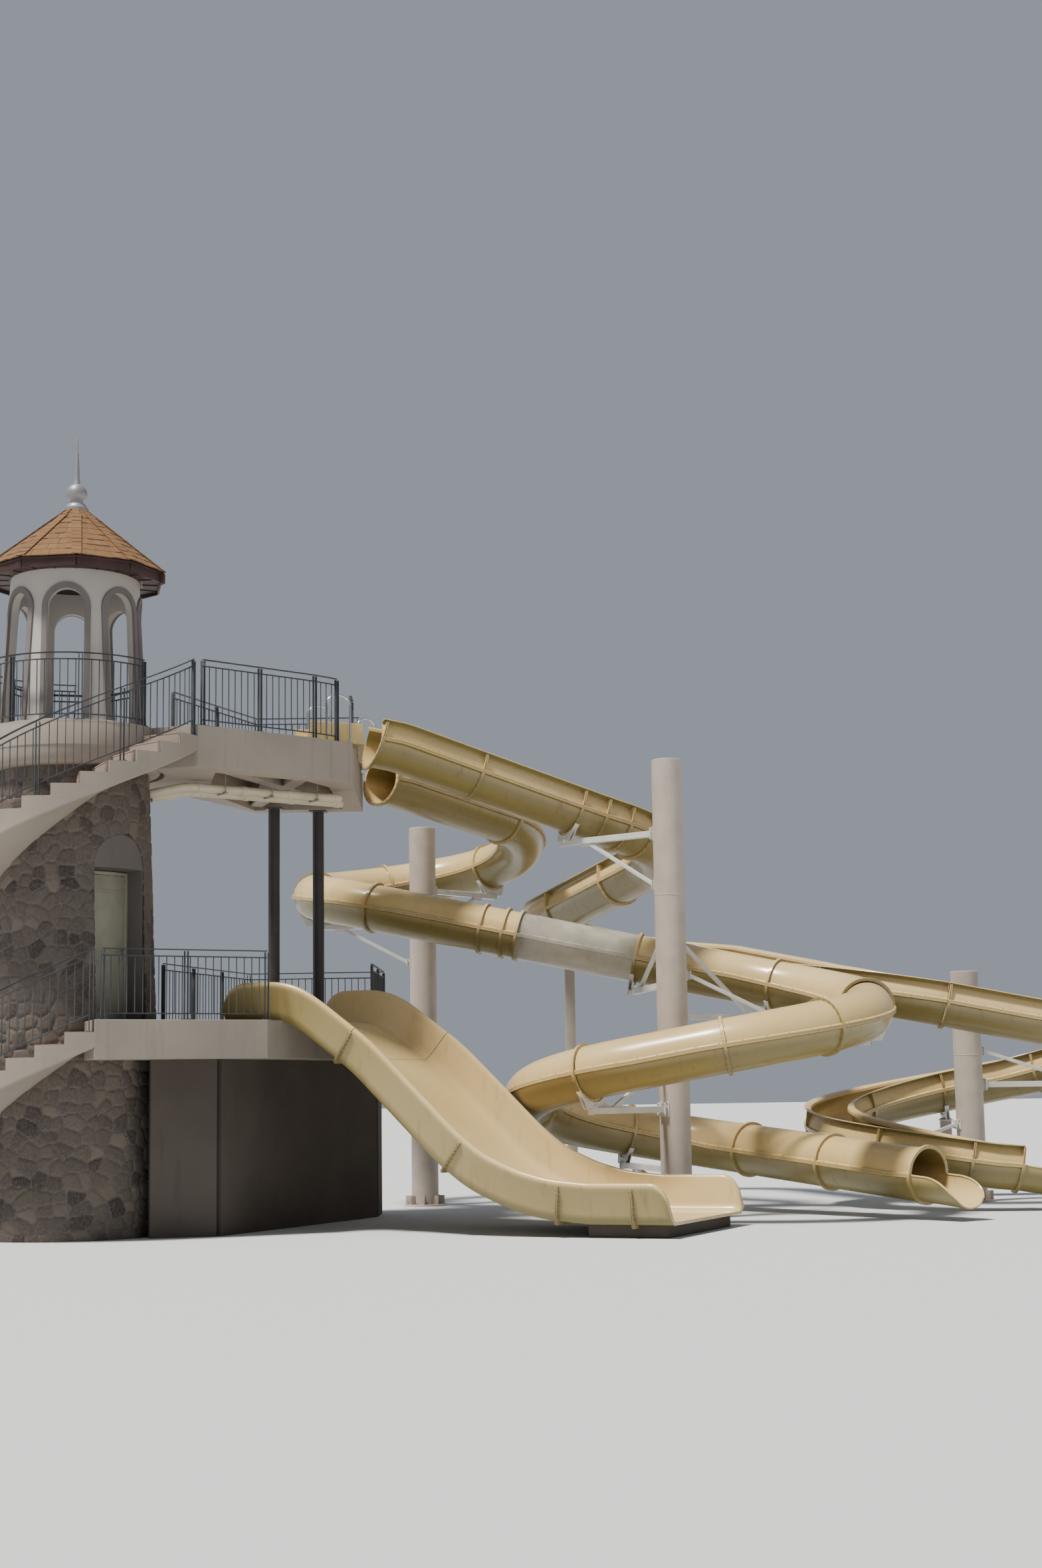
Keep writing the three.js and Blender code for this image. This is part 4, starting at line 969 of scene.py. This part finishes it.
def roofRadius(z):
    return roof["radius"] + (roof["headRadius"] - roof["radius"]) * (z - roof["foot"]) / roofRise


def courseTabs(face, course):
    z = roof["foot"] + coursePitch * course
    a, b = eavePoint(face, roofRadius(z), z), eavePoint(face + 1, roofRadius(z), z)
    outward = flatDirection((a + b) / 2 - towerAxis)
    lean = slope - math.radians(roof["tilt"])
    upward = lift(math.sin(lean)) - outward * math.cos(lean)
    base = framed((a + b) / 2, (b - a).normalized(), upward)
    width, length = (b - a).length * 0.97, coursePitch / math.sin(slope) * roof["overlap"]
    count = max(1, round(width / roof["tab"]))
    narrow = 1 - 0.15 * length / (b - a).length
    scale = Matrix.Diagonal((width / count * narrow - roof["gap"], length, roof["thick"], 1))
    places = []
    for k in range(count):
        share = (k + 0.5) / count - 0.5 + random.uniform(-roof["jitter"], roof["jitter"])
        middle = (share * width * narrow, length / 2 - random.uniform(0, roof["ragged"]), 0.014)
        places.append(base @ Matrix.Translation(middle) @ scale)
    return places


def hipCaps(index):
    places = []
    for k in range(roof["capSteps"]):
        z = roof["foot"] + roofRise * k / roof["capSteps"]
        spot, ahead = (eavePoint(index, roofRadius(level), level) for level in (z, z + 0.08))
        outward = flatDirection(spot - towerAxis)
        rightward = Vector((-outward.y, outward.x, 0))
        upward = (ahead - spot).normalized()
        off = rightward.cross(upward)
        upward = (upward - off * 0.03).normalized()
        scale = Matrix.Diagonal((0.15 if k < roof["capSteps"] - 2 else 0.09, 0.14, 0.014, 1))
        places.append(framed(spot + upward * 0.06 + off * 0.022, rightward, upward) @ scale)
    return places


sides = range(eave["sides"])
tabPlaces = [p for face in sides for course in range(roof["courses"]) for p in courseTabs(face, course)]
tabPlaces += [p for index in sides for p in hipCaps(index)]
tones = [random.gauss(0.62, 0.08) for _ in tabPlaces]
# Painted shadow: some tabs get a dark strip along their lower edge, standing in for the shadow under a thick
# tab.
shadowStripPlace = Matrix.Translation((0, -0.5, 0.3)) @ Matrix.Diagonal((0.92, 0.11, 0.55, 1))
shadowStrips = [place @ shadowStripPlace for place in tabPlaces if random.random() < roof["laminated"]]
bpy.ops.mesh.primitive_cube_add(size=1, location=(0, 0, 0))
tab = paint(bpy.context.object, shingle)
tabs = scatter(tab, tabPlaces + shadowStrips, "shingleTone", tones + [0.0] * len(shadowStrips))
cone = {"radius1": eave["radius"], "radius2": roof["deckHead"], "depth": roof["deckRise"]}
coneTurn = math.radians(eave["turn"] + corner / 2)
bpy.ops.mesh.primitive_cone_add(vertices=eave["sides"], rotation=(0, 0, coneTurn), **cone)
deck = bpy.context.object
deck.location = towerAxis + lift(roof["deckFoot"] + roof["deckRise"] / 2)
applyPlace(deck)
finishPiece([tabs, paint(deck, fascia)], "tower.roof.shingles", ("roof_shingles",), 15)

finialProfile = [
    (0, 11.2), (0.186, 11.2), (0.19, 11.212), (0.187, 11.312), (0.176, 11.322), (0.16, 11.34),
    (0.152, 11.366), (0.137, 11.38), (0.118, 11.388), (0.104, 11.4), (0.106, 11.412),
]
finialProfile += arc(0.165, -50, 70, 15, (0, 11.555))
finialProfile += [
    (0.056, 11.722), (0.052, 11.735), (0.047, 11.80), (0.034, 12.03), (0.023, 12.225), (0.023, 12.238),
    (0.0135, 12.246), (0.0125, 12.36), (0.0105, 12.49), (0.006, 12.5), (0, 12.5),
]
finial = lathe(finialProfile, silver, 48)
finishPiece([finial], "tower.roof.finial", ("roof_finial",), 40)
print("roof built")


# Stairs: a helical slab with rendered steps and brown treads
stair = {"outer": 2.187, "waist": 0.22, "rise": 0.18, "step": 11.1, "margin": 0.07, "proud": 0.008}
flights = {
    "lower": {"arrival": 21.1, "floor": 3.18, "treads": 16, "inner": 1.33},
    "upper": {"arrival": 70.0, "floor": upperFloor, "treads": 24, "inner": 1.18},
}


def sector(radii, bearings, low, high, material, facets=4):
    (inner, outer), (start, end) = radii, bearings
    outline = [around(bearing, outer) for bearing in spread(start, end, facets)]
    outline += [around(bearing, inner) for bearing in spread(end, start, facets)]
    return prism([outline], high - low, material, (low + high) / 2)


def nosing(flight, bearing):
    return flight["floor"] - stair["rise"] * (flight["arrival"] - bearing) / stair["step"]


for name, flight in flights.items():
    inner, outer = flight["inner"], stair["outer"]
    half, deep, step = (outer - inner) / 2, stair["waist"] / 2, stair["step"]
    start = flight["arrival"] - step * flight["treads"]
    sunk = stair["rise"] + deep
    line = [
        polar(bearing, (inner + outer) / 2, nosing(flight, bearing) - sunk)
        for bearing in spread(start, flight["arrival"], flight["treads"] * 4)
    ]
    profile = [(-half, -deep), (half - 0.02, -deep), (half, -deep + 0.02), (half, deep), (-half, deep)]
    body = sector((inner, outer), (0, step + 0.25), -0.21, 0, plaster)
    inside = (inner, outer - stair["margin"])
    plate = sector(inside, (-0.35, step - 0.3), -0.012, stair["proud"], tread)
    modify(plate, "BEVEL", width=0.004, segments=1, limit_method="ANGLE")
    riser = sector(inside, (-0.2, 0.2), -stair["rise"] + 0.001, -0.01, tread, 1)
    places = []
    for k in range(1, flight["treads"] + 1):
        top = towerAxis + lift(flight["floor"] - stair["rise"] * k)
        places.append(turnedAt(top, math.radians(flight["arrival"] - step * k)))
    slab = closed(sweep(line, profile, plaster))
    piece = join([slab, scatter(body, places), scatter(join([plate, riser]), places)])
    for vertex in piece.data.vertices:
        vertex.co.z = max(vertex.co.z, 0.0)
    finishPiece([piece], f"tower.stair.{name}", (f"{name}_stair",), 30)
print("stairs built")


# Platforms: the solids' own outlines with softened edges
def softened(node, name, material, width=0.01, extras=()):
    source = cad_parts[node]
    piece = bpy.data.objects.new(name, source.data.copy())
    bpy.context.scene.collection.objects.link(piece)
    piece.matrix_world = source.matrix_world.copy()
    applyPlace(piece)
    flattened = (bpy.ops.mesh.dissolve_limited, {"angle_limit": math.radians(1.5)})
    edit(piece, merged(0.0005), flattened, facesOut)
    modify(piece, "BEVEL", width=width, segments=2, limit_method="ANGLE", angle_limit=0.6)
    finishPiece([paint(piece, material), *extras], name, (node,), 30)
    modify(piece, "WEIGHTED_NORMAL", keep_sharp=True)


softened("upper_platform", "tower.deck.upper", deckPlaster)
softened("lower_platform", "tower.deck.lower", deckPlaster)
softened("undercroft_wall", "tower.undercroft.walls", paintedShadePlaster, 0.008)
softened("door_level_floor", "tower.door.floor", deckPlaster, 0.005)


# Railings: paired flat posts, two handrails, a bottom rail and slim balusters
rails = {"top": 1.03, "second": 0.93, "bottom": 0.09, "pitch": 0.118, "bar": 0.008, "bay": 1.3}
rails.update(flats=((0.0225, 0.008), (0.012, 0.009), (0.012, 0.009)), stairRadius=2.13, clear=0.06)
rails.update(strip=(0.014, 0.045), stripGap=0.026, plate=(0.15, 0.07, 0.01), boltGap=0.055, short=0.02)


def railLine(samples, height, width, depth):
    outline = []
    for x, y in ((-width, -depth), (width, -depth), (width, depth), (-width, depth)):
        outline += [(x * 0.8, y), (x, y * 0.8)] if x * y > 0 else [(x, y * 0.8), (x * 0.8, y)]
    return closed(sweep([spot + lift(height) for spot in samples], outline, railPaint))


def bays(samples):
    return [(a, b, (b - a).xy.length) for a, b in zip(samples, samples[1:])]


def walk(samples, distance):
    for a, b, length in bays(samples):
        heading = math.atan2(b.y - a.y, b.x - a.x)
        if distance <= length:
            return a.lerp(b, distance / length), heading
        distance -= length
    return samples[-1], heading


# samples: the line of the rail at floor level; posts: distances along it
def railing(name, node, samples, posts, footAt=None):
    levels = (rails["top"], rails["second"], rails["bottom"])
    parts = [railLine(samples, level, *flat) for level, flat in zip(levels, rails["flats"])]
    total = sum(length for _, _, length in bays(samples))
    marks = spread(0, total, round(total / rails["pitch"]))[1:-1]
    marks = [mark for mark in marks if min(abs(mark - p) for p in posts) > rails["clear"]]
    bar = addRod(railPaint, rails["bar"], (0, 0, rails["bottom"]), (0, 0, rails["second"]), 6)
    parts.append(scatter(bar, [turnedAt(*walk(samples, mark)) for mark in marks]))
    for p in posts:
        spot, heading = walk(samples, p)
        foot = footAt(spot) if footAt else spot.z
        tall = spot.z + rails["top"] - rails["short"] - foot
        post = [addBox(railPaint, rails["plate"], (0, 0, 0.0055), 0.002)]
        for side in (-1, 1):
            post.append(addBox(railPaint, (*rails["strip"], tall), (side * rails["stripGap"], 0, tall / 2)))
            x = side * rails["boltGap"]
            post.append(addRod(galvanised, 0.008, (x, 0, 0.01), (x, 0, 0.022), 6))
        parts.append(placed(join(post), turnedAt((spot.x, spot.y, foot), heading)))
    finishPiece(parts, name, (node,), 30)


straightRailings = {
    "upper_railing_front": (upperFloor, [(-4.868, -3.07), (-3.28, -1.695), (-2.961, -1.33)]),
    "upper_railing_side": (upperFloor, [(-2.86, 0.2), (-2.87, 0.7)]),
    "upper_railing_back": (upperFloor, [(-2.878, 2.331), (-4.696, 2.31), (-5.753, -0.411)]),
    "lower_railing_front": (3.18, [(-6.105, -4.382), (-3.865, -3.193)]),
    "lower_railing_back": (3.18, [(-2.54, 0.45), (-2.497, 2.823), (-4.892, 2.81), (-5.862, -0.522)]),
}
for node, (floor, corners) in straightRailings.items():
    samples = [onSite(x, y, floor) for x, y in corners]
    posts, reached = [0.0], 0.0
    for _, _, length in bays(samples):
        posts += spread(reached, reached + length, max(1, round(length / rails["bay"])))[1:]
        reached += length
    railing(node.replace("_", "."), node, samples, posts)


def stairRail(name, posts):
    flight = flights[name]
    bay = stair["step"] * 3
    top = flight["arrival"] - stair["step"] * 0.1
    foot = flight["arrival"] - stair["step"] / 2 - bay * (posts - 1)
    bearings = spread(foot, top, (posts - 1) * 9)
    samples = [polar(b, rails["stairRadius"], nosing(flight, b)) for b in bearings]
    total = sum(length for _, _, length in bays(samples))

    def footAt(spot):
        offset = spot - towerAxis
        bearing = math.degrees(math.atan2(offset.x, -offset.y))
        while bearing > top + 1:
            bearing -= 360
        steps = (flight["arrival"] - bearing) / stair["step"]
        return flight["floor"] - stair["rise"] * math.ceil(steps - 1e-6)

    spaced = [total * bay * k / (top - foot) for k in range(posts - 1)] + [total]
    railing(f"stair.railing.{name}", f"{name}_stair_railing", samples, spaced, footAt)


stairRail("lower", 6)
stairRail("upper", 8)
galleryRail = {"radius": 1.365, "from": -170, "sweep": 232, "bays": 5}
galleryEnd = galleryRail["from"] + galleryRail["sweep"]
bearings = spread(galleryRail["from"], galleryEnd, 60)
gallerySamples = [polar(bearing, galleryRail["radius"], upperFloor) for bearing in bearings]
galleryGirth = math.radians(galleryRail["sweep"]) * galleryRail["radius"]
galleryPosts = spread(0, galleryGirth * 0.99999, galleryRail["bays"])
railing("gallery.railing", "gallery_railing", gallerySamples, galleryPosts)
print("railings built")


# Family slide: a wide chute with rolled rims, drawn out along its falling floor line
family = {"start": (-3.84, -2.9), "heading": -23.3, "half": 1.65, "begin": -0.849, "end": 6.338}
family.update(nose=0.3, startRound=0.4, pitch=0.06, breaks=(1.1, 4.6), joints=(2.85, 5.75))
familyLine = [(-0.85, 3.2255), (0.17, 3.2255), (0.43, 3.085), (0.75, 2.85), (1.34, 2.42), (2.71, 1.09)]
familyLine += [(3.21, 0.71), (3.82, 0.44), (4.38, 0.29), (5.03, 0.225), (6.34, 0.225)]
familySide = [(0.16, -0.045), (0.10, -0.03), (0.07, 0.02), (0.055, 0.10), (-0.002, 0.42), (-0.011, 0.46)]
familySide += [(-0.013, 0.492), (-0.004, 0.520), (0.018, 0.536), (0.045, 0.5385), (0.070, 0.526)]
familySide += [(0.084, 0.50), (0.094, 0.455), (0.15, 0.13), (0.172, 0.06), (0.212, 0.018), (0.275, 0.0)]
familyTurn, familyStart = math.radians(family["heading"]), onSite(*family["start"])
half = family["half"]


def familyHeight(along):
    reach = 0.2 if along < 5 else 0.1
    return sum(levelAt(familyLine, along + reach * k / 4) for k in range(-4, 5)) / 9


def familyPlace(along, side=0.0, rise=0.0):
    flat = levelled(familyTurn)
    right = Vector((flat.y, -flat.x, 0))
    drop = familyHeight(along + 0.05) - familyHeight(along - 0.05)
    up = right.cross((flat * 0.1 + lift(drop)).normalized())
    middle = familyStart + flat * along - right * half
    return framed(middle + lift(familyHeight(along)) + right * side + up * rise, right, up)


def quarterRound(share):
    return math.sqrt(1 - (1 - clamped(share)) ** 2)


def familyChute(start, end):
    right = [(half - x, y) for x, y in familySide]
    stations = spread(start, end, math.ceil((end - start) / family["pitch"]))
    line = [familyPlace(station).translation for station in stations]
    piece = closed(sweep(line, right + mirrored(right), cream))
    for vertex in piece.data.vertices:
        offset = vertex.co - familyStart
        along = offset.x * math.cos(familyTurn) + offset.y * math.sin(familyTurn)
        level = familyHeight(along)
        if vertex.co.z > level:
            rim = quarterRound((family["end"] - along) / family["nose"])
            rim *= 0.25 + 0.75 * quarterRound((along - family["begin"]) / family["startRound"])
            vertex.co.z = level + (vertex.co.z - level) * rim
    return piece


def familyFlange(along):
    side = [(half - 0.16, -0.045), (half - 0.07, 0.02), (half + 0.008, 0.46), (half + 0.045, 0.455)]
    side += [(half - 0.014, -0.02), (half - 0.06, -0.09), (half - 0.16, -0.09)]
    underFloor = [(0.16 - half, -0.044), (0.16 - half, -0.09), (half - 0.16, -0.09), (half - 0.16, -0.044)]
    outlines = (side, mirrored(side), underFloor)
    plates = [prism([line], 0.012, cream, depth) for depth in (-0.009, 0.009) for line in outlines]
    return placed(join(plates), familyPlace(along))


def familyBolts(along):
    off = Matrix.Translation((0, 0, 0.015))
    places = []
    for i in range(7):
        rise = 0.03 + 0.065 * i
        side = half - 0.046 + rise * 0.168 + 0.013
        for there in (familyPlace(along, -side, rise), familyPlace(along, side, rise)):
            places += [there @ off, there @ tipped(180) @ off]
    return places


familyEnds = [family["begin"], *family["breaks"], family["end"]]
for i, (start, end) in enumerate(zip(familyEnds, familyEnds[1:]), 1):
    joints = [s for s in (*family["breaks"], *family["joints"]) if start + 0.003 < s <= end + 0.007]
    parts = [familyChute(start + 0.003, end - 0.003)] + [familyFlange(s) for s in joints]
    bolts = [place for s in joints for place in familyBolts(s)]
    parts.append(scatter(boltHead(0.01, 0.013), bolts))
    finishPiece(parts, f"family.slide.{i}", (f"family_slide_{i}",), 40)
softened("family_slide_plinth", "family.slide.plinth", paintedShadePlaster, 0.015)
print("family slide built")


# Columns with clamped brackets, arms and the saddles under the flumes' joints
column = {"radius": 0.25, "sides": 56, "arm": 0.1, "brace": 0.06, "saddle": 0.467, "seat": -0.517}
column.update(plate=0.39, nuts=0.34, fins=0.30, fin=(0.12, 0.012, 0.16), welds=(2.6, 5.2))
bearers = {
    "main": (
        (2.4, -0.5, 7.44),
        [(upperRoute, 3.56, -0.85), (lowerRoute, 17.85, 0.9), (lowerRoute, 20.3, 1.2)]
        + [(lowerRoute, 22.8, 1.12), (lowerRoute, 28.865, 0.7), (lowerRoute, 34.0, -0.35)],
    ),
    "back": ((-1.9, 5.2, 7.07), [(lowerRoute, 6.0, -0.7), (lowerRoute, 10.5, -0.7)]),
    "right": ((8.0, 3.7, 4.11), [(upperRoute, 27.95, 0.6), (upperRoute, 35.55, 0.6)]),
}


def saddle(route, station):
    inner, foot = column["saddle"], 0.566
    strap = arc(inner + 0.014, -142, -38, 24) + arc(inner, -38, -142, 24)
    gusset = arc(inner + 0.012, -136, -44, 20) + [(0.24, -foot), (-0.24, -foot)]
    parts = [prism([strap], 0.08, armPaint, 0.025)]
    parts += [prism([gusset], 0.011, armPaint, depth) for depth in (-0.004, 0.054)]
    return placed(join(parts), route.matrix(station))


def seatOf(route, station):
    return route.matrix(station + 0.025, 0, column["seat"]).translation


# A curved plate welded to the column, two lugs and a bolted end plate; x points away from the column.
def bracket(level, height):
    radius = column["radius"]
    plate = arc(radius + 0.014, -24, 24, 8) + arc(radius - 0.004, 24, -24, 8)
    parts = [prism([plate], height, armPaint, level)]
    for side in (-0.035, 0.035):
        parts.append(addBox(armPaint, (0.08, 0.012, height * 0.7), (radius + 0.025, side, level), 0.002))
    parts.append(addBox(armPaint, (0.014, 0.17, height * 0.85), (radius + 0.045, 0, level)))
    for x, thick, length, wider in ((0.05, 0.012, 0.018, 1), (0.004, 0.011, 0.014, 1.25)):
        for side in (-0.062 * wider, 0.062 * wider):
            for rise in (-0.32 * wider * height, 0.32 * wider * height):
                foot = Vector((radius + x, side, level + rise))
                parts.append(addRod(galvanised, thick, foot, foot + Vector((length, 0, 0)), 6))
    return parts


def arm(centre, route, station, brace):
    seat = seatOf(route, station)
    stub = seat - lift(0.077)
    offset = Vector((seat.x - centre.x, seat.y - centre.y, 0))
    reach, size = offset.length, column["arm"]
    tip, meet = (reach + 0.06, 0, 0), (reach * 0.8, 0, 0)
    parts = bracket(0, 0.24)
    parts.append(addBeam(armPaint, size, size, (0.3, 0, 0), tip, 0.006))
    parts.append(addBeam(armPaint, 0.19, 0.19, (0.3, 0, 0), (0.314, 0, 0), 0.002))
    parts.append(addBeam(armPaint, 0.13, 0.13, tip, (tip[0] + 0.01, 0, 0), 0.002))
    if reach > 0.9:
        parts += bracket(brace, 0.17)
        parts.append(addBeam(armPaint, column["brace"], column["brace"], (0.29, 0, brace), meet, 0.005))
        parts.append(addBox(armPaint, (0.18, 0.012, 0.14), (meet[0], 0, math.copysign(0.03, brace))))
    heading = math.atan2(offset.y, offset.x)
    placed(join(parts), turnedAt((centre.x, centre.y, stub.z), heading))
    return [parts[0], addBeam(armPaint, 0.1, 0.12, stub, seat), saddle(route, station)]


def columnShaft(centre, top):
    radius = column["radius"]
    plate = column["plate"]
    profile = [(0, 0.001), (plate, 0.001), (plate, 0.028), (plate - 0.005, 0.032), (radius, 0.032)]
    profile += [(radius, top - 0.012), (radius - 0.01, top - 0.003), (0, top)]
    parts = [lathe(profile, columnPaint, column["sides"], False, centre)]
    bead = [(-0.002, -0.012), (0.004, -0.006), (0.004, 0.006), (-0.002, 0.012)]
    for level in column["welds"]:
        if level < top - 0.5:
            weld = [(radius + out, level + z) for out, z in bead]
            parts.append(lathe(weld, columnPaint, 40, True, centre))
    for x, y in arc(column["nuts"], 22.5, 337.5, 7):
        nut = centre + Vector((x, y, 0.03))
        parts.append(addRod(galvanised, 0.018, nut, nut + lift(0.032), 6))
    for i, (x, y) in enumerate(arc(column["fins"], 0, 315, 7)):
        fin = centre + Vector((x, y, 0.11))
        parts.append(addBox(columnPaint, column["fin"], fin, 0.002, math.tau * i / 8))
    return parts


for name, ((x, y, top), arms) in bearers.items():
    centre = onSite(x, y)
    parts = columnShaft(centre, top)
    for route, station, brace in arms:
        parts += arm(centre, route, station, brace)
    finishPiece(parts, f"column.{name}", (f"{name}_column",), 30)

for name, route, station in (("middle", upperRoute, 9.81), ("right", upperRoute, 31.7)):
    seat = seatOf(route, station)
    ground = Vector((seat.x, seat.y, 0))
    parts = [
        addBox(columnPaint, (0.19, 0.19, seat.z - 0.02), ground + lift(seat.z / 2), 0.012),
        addBox(columnPaint, (0.32, 0.32, 0.025), ground + lift(0.0135)),
        addBox(armPaint, (0.24, 0.24, 0.02), seat - lift(0.05)),
        *squareBolts(ground + lift(0.025), 0.13, 0.014, 0.03),
        saddle(route, station),
    ]
    finishPiece(parts, f"post.{name}", (f"post_{name}",), 30)

for name, x, y in (("left", -4.33, 1.8), ("right", -3.6, 2.25)):
    foot = onSite(x, y, 3.181)
    parts = [addRod(darkSteel, 0.1, foot, onSite(x, y, 7.04), 40)]
    for z in (3.1915, 7.0285):
        parts.append(addBox(darkSteel, (0.3, 0.3, 0.02), onSite(x, y, z)))
    parts += squareBolts(foot + lift(0.019), 0.12, 0.012, 0.025)
    finishPiece(parts, f"deck.column.{name}", (f"deck_column_{name}",), 30)
print("columns built")


# Starts: moulded tubs with a pair of grab hoops over each
def grabHoop(route, side):
    points = [(x, 0.62 + rise * 0.8) for x, rise in reversed(arc(0.2, 0, 180, 24, (-0.77, 0)))]
    points = [(-0.97, 0.0), (-0.97, 0.3), *points, (-0.57, 0.3), (-0.57, 0.0)]
    centre, forward, left, _ = route.frameAt(0)
    ahead = flatDirection(forward)
    base = Vector((centre.x, centre.y, upperFloor + 0.002)) + left * side
    spots = [base + ahead * along + lift(rise) for along, rise in points]
    feet = [addRod(chrome, 0.045, spot, spot + lift(0.012), 20) for spot in (spots[0], spots[-1])]
    return [addPipe(spots, 0.019, chrome, 12), *feet]


for prefix, route in (("open_slide", upperRoute), ("tube_slide", lowerRoute)):
    hoops = grabHoop(route, -0.52) + grabHoop(route, 0.52)
    softened(f"{prefix}_tub", f"{prefix}.start.tub", cream, 0.018, hoops)


# Supply pipes below the upper deck, with sleeves, hangers and a flood lamp
def elbowed(a, b, c, reach=0.14):
    start, end = b + (a - b).normalized() * reach, b + (c - b).normalized() * reach
    return [a, *(start * (1 - t) ** 2 + b * 2 * t * (1 - t) + end * t * t for t in spread(0, 1, 8)), c]


pipes = {"level": 6.91, "radius": 0.068, "gap": 0.26, "lower": 0.05, "drop": 0.13, "ceiling": 7.48}
pipes.update(sleeves=(0.08, 0.36, 0.66, 0.97), hangers=(0.2, 0.5, 0.8))
pipeRun, pipeTurn = (2.28, 1.65), math.atan2(1.65, 2.28)
parts = []
for offset in (0, pipes["gap"]):
    level = pipes["level"] - (pipes["lower"] if offset else 0)
    spots = [onSite(-5.84, -2.12 + offset * 0.6, level - pipes["drop"])]
    spots += [onSite(-5.28, -1.95 + offset, level), onSite(-3.0, -0.3 + offset, level)]
    parts.append(addPipe(elbowed(*spots), pipes["radius"], pipePaint, 20))
    sleeve = (spots[2] - spots[1]).normalized() * 0.045
    for share in pipes["sleeves"]:
        spot = spots[1].lerp(spots[2], share)
        parts.append(addRod(pipePaint, pipes["radius"] + 0.008, spot - sleeve, spot + sleeve, 24, 0.003))
for share in pipes["hangers"]:
    spot = onSite(-5.28 + pipeRun[0] * share, -1.82 + pipeRun[1] * share, pipes["level"])
    parts.append(addBox(galvanised, (0.04, 0.46, 0.03), spot - lift(0.072), 0.003, pipeTurn))
    for side in (-0.2, 0.2):
        x, y = spot.x - math.sin(pipeTurn) * side, spot.y + math.cos(pipeTurn) * side
        parts.append(addRod(galvanised, 0.008, (x, y, spot.z - 0.09), (x, y, pipes["ceiling"]), 8))
lamp = onSite(-5.18, -1.66, pipes["level"])
parts.append(addRod(pipePaint, 0.016, lamp - lift(0.02), lamp + lift(0.1)))
parts.append(addBox(pipePaint, (0.17, 0.11, 0.07), lamp - lift(0.06), 0.012, 0.4))
finishPiece(parts, "deck.supply.pipes", ("supply_pipes",), 40)
print("starts and pipes built")


# Lights and floor
studio = {"floorSize": 2400, "floorDrop": 0.002, "floorTone": (0.62, 0.64, 0.66), "sun": 6.3, "sunWidth": 9}
studio.update(sunTurn=(14, -21, 0), sunTone=(1.0, 0.95, 0.87), sky=0.37, skyTone=(0.80, 0.88, 1.0, 1))

bpy.ops.mesh.primitive_plane_add(size=studio["floorSize"], location=(0, 0, -studio["floorDrop"]))
floor = bpy.context.object
floor.name = "studio floor"
floorFinish = Finish("studio floor", roughness=0.9, specular=0.1, color=studio["floorTone"])
paint(floor, floorFinish.material)

bpy.ops.object.light_add(type="SUN", location=(12, -20, 40))
sun = bpy.context.object
sun.rotation_euler = [math.radians(turn) for turn in studio["sunTurn"]]
sun.data.energy = studio["sun"]
sun.data.angle = math.radians(studio["sunWidth"])
sun.data.color = studio["sunTone"]

world = bpy.data.worlds.new("studio sky")
world.use_nodes = True
background = world.node_tree.nodes["Background"]
background.inputs["Color"].default_value = studio["skyTone"]
background.inputs["Strength"].default_value = studio["sky"]
bpy.context.scene.world = world
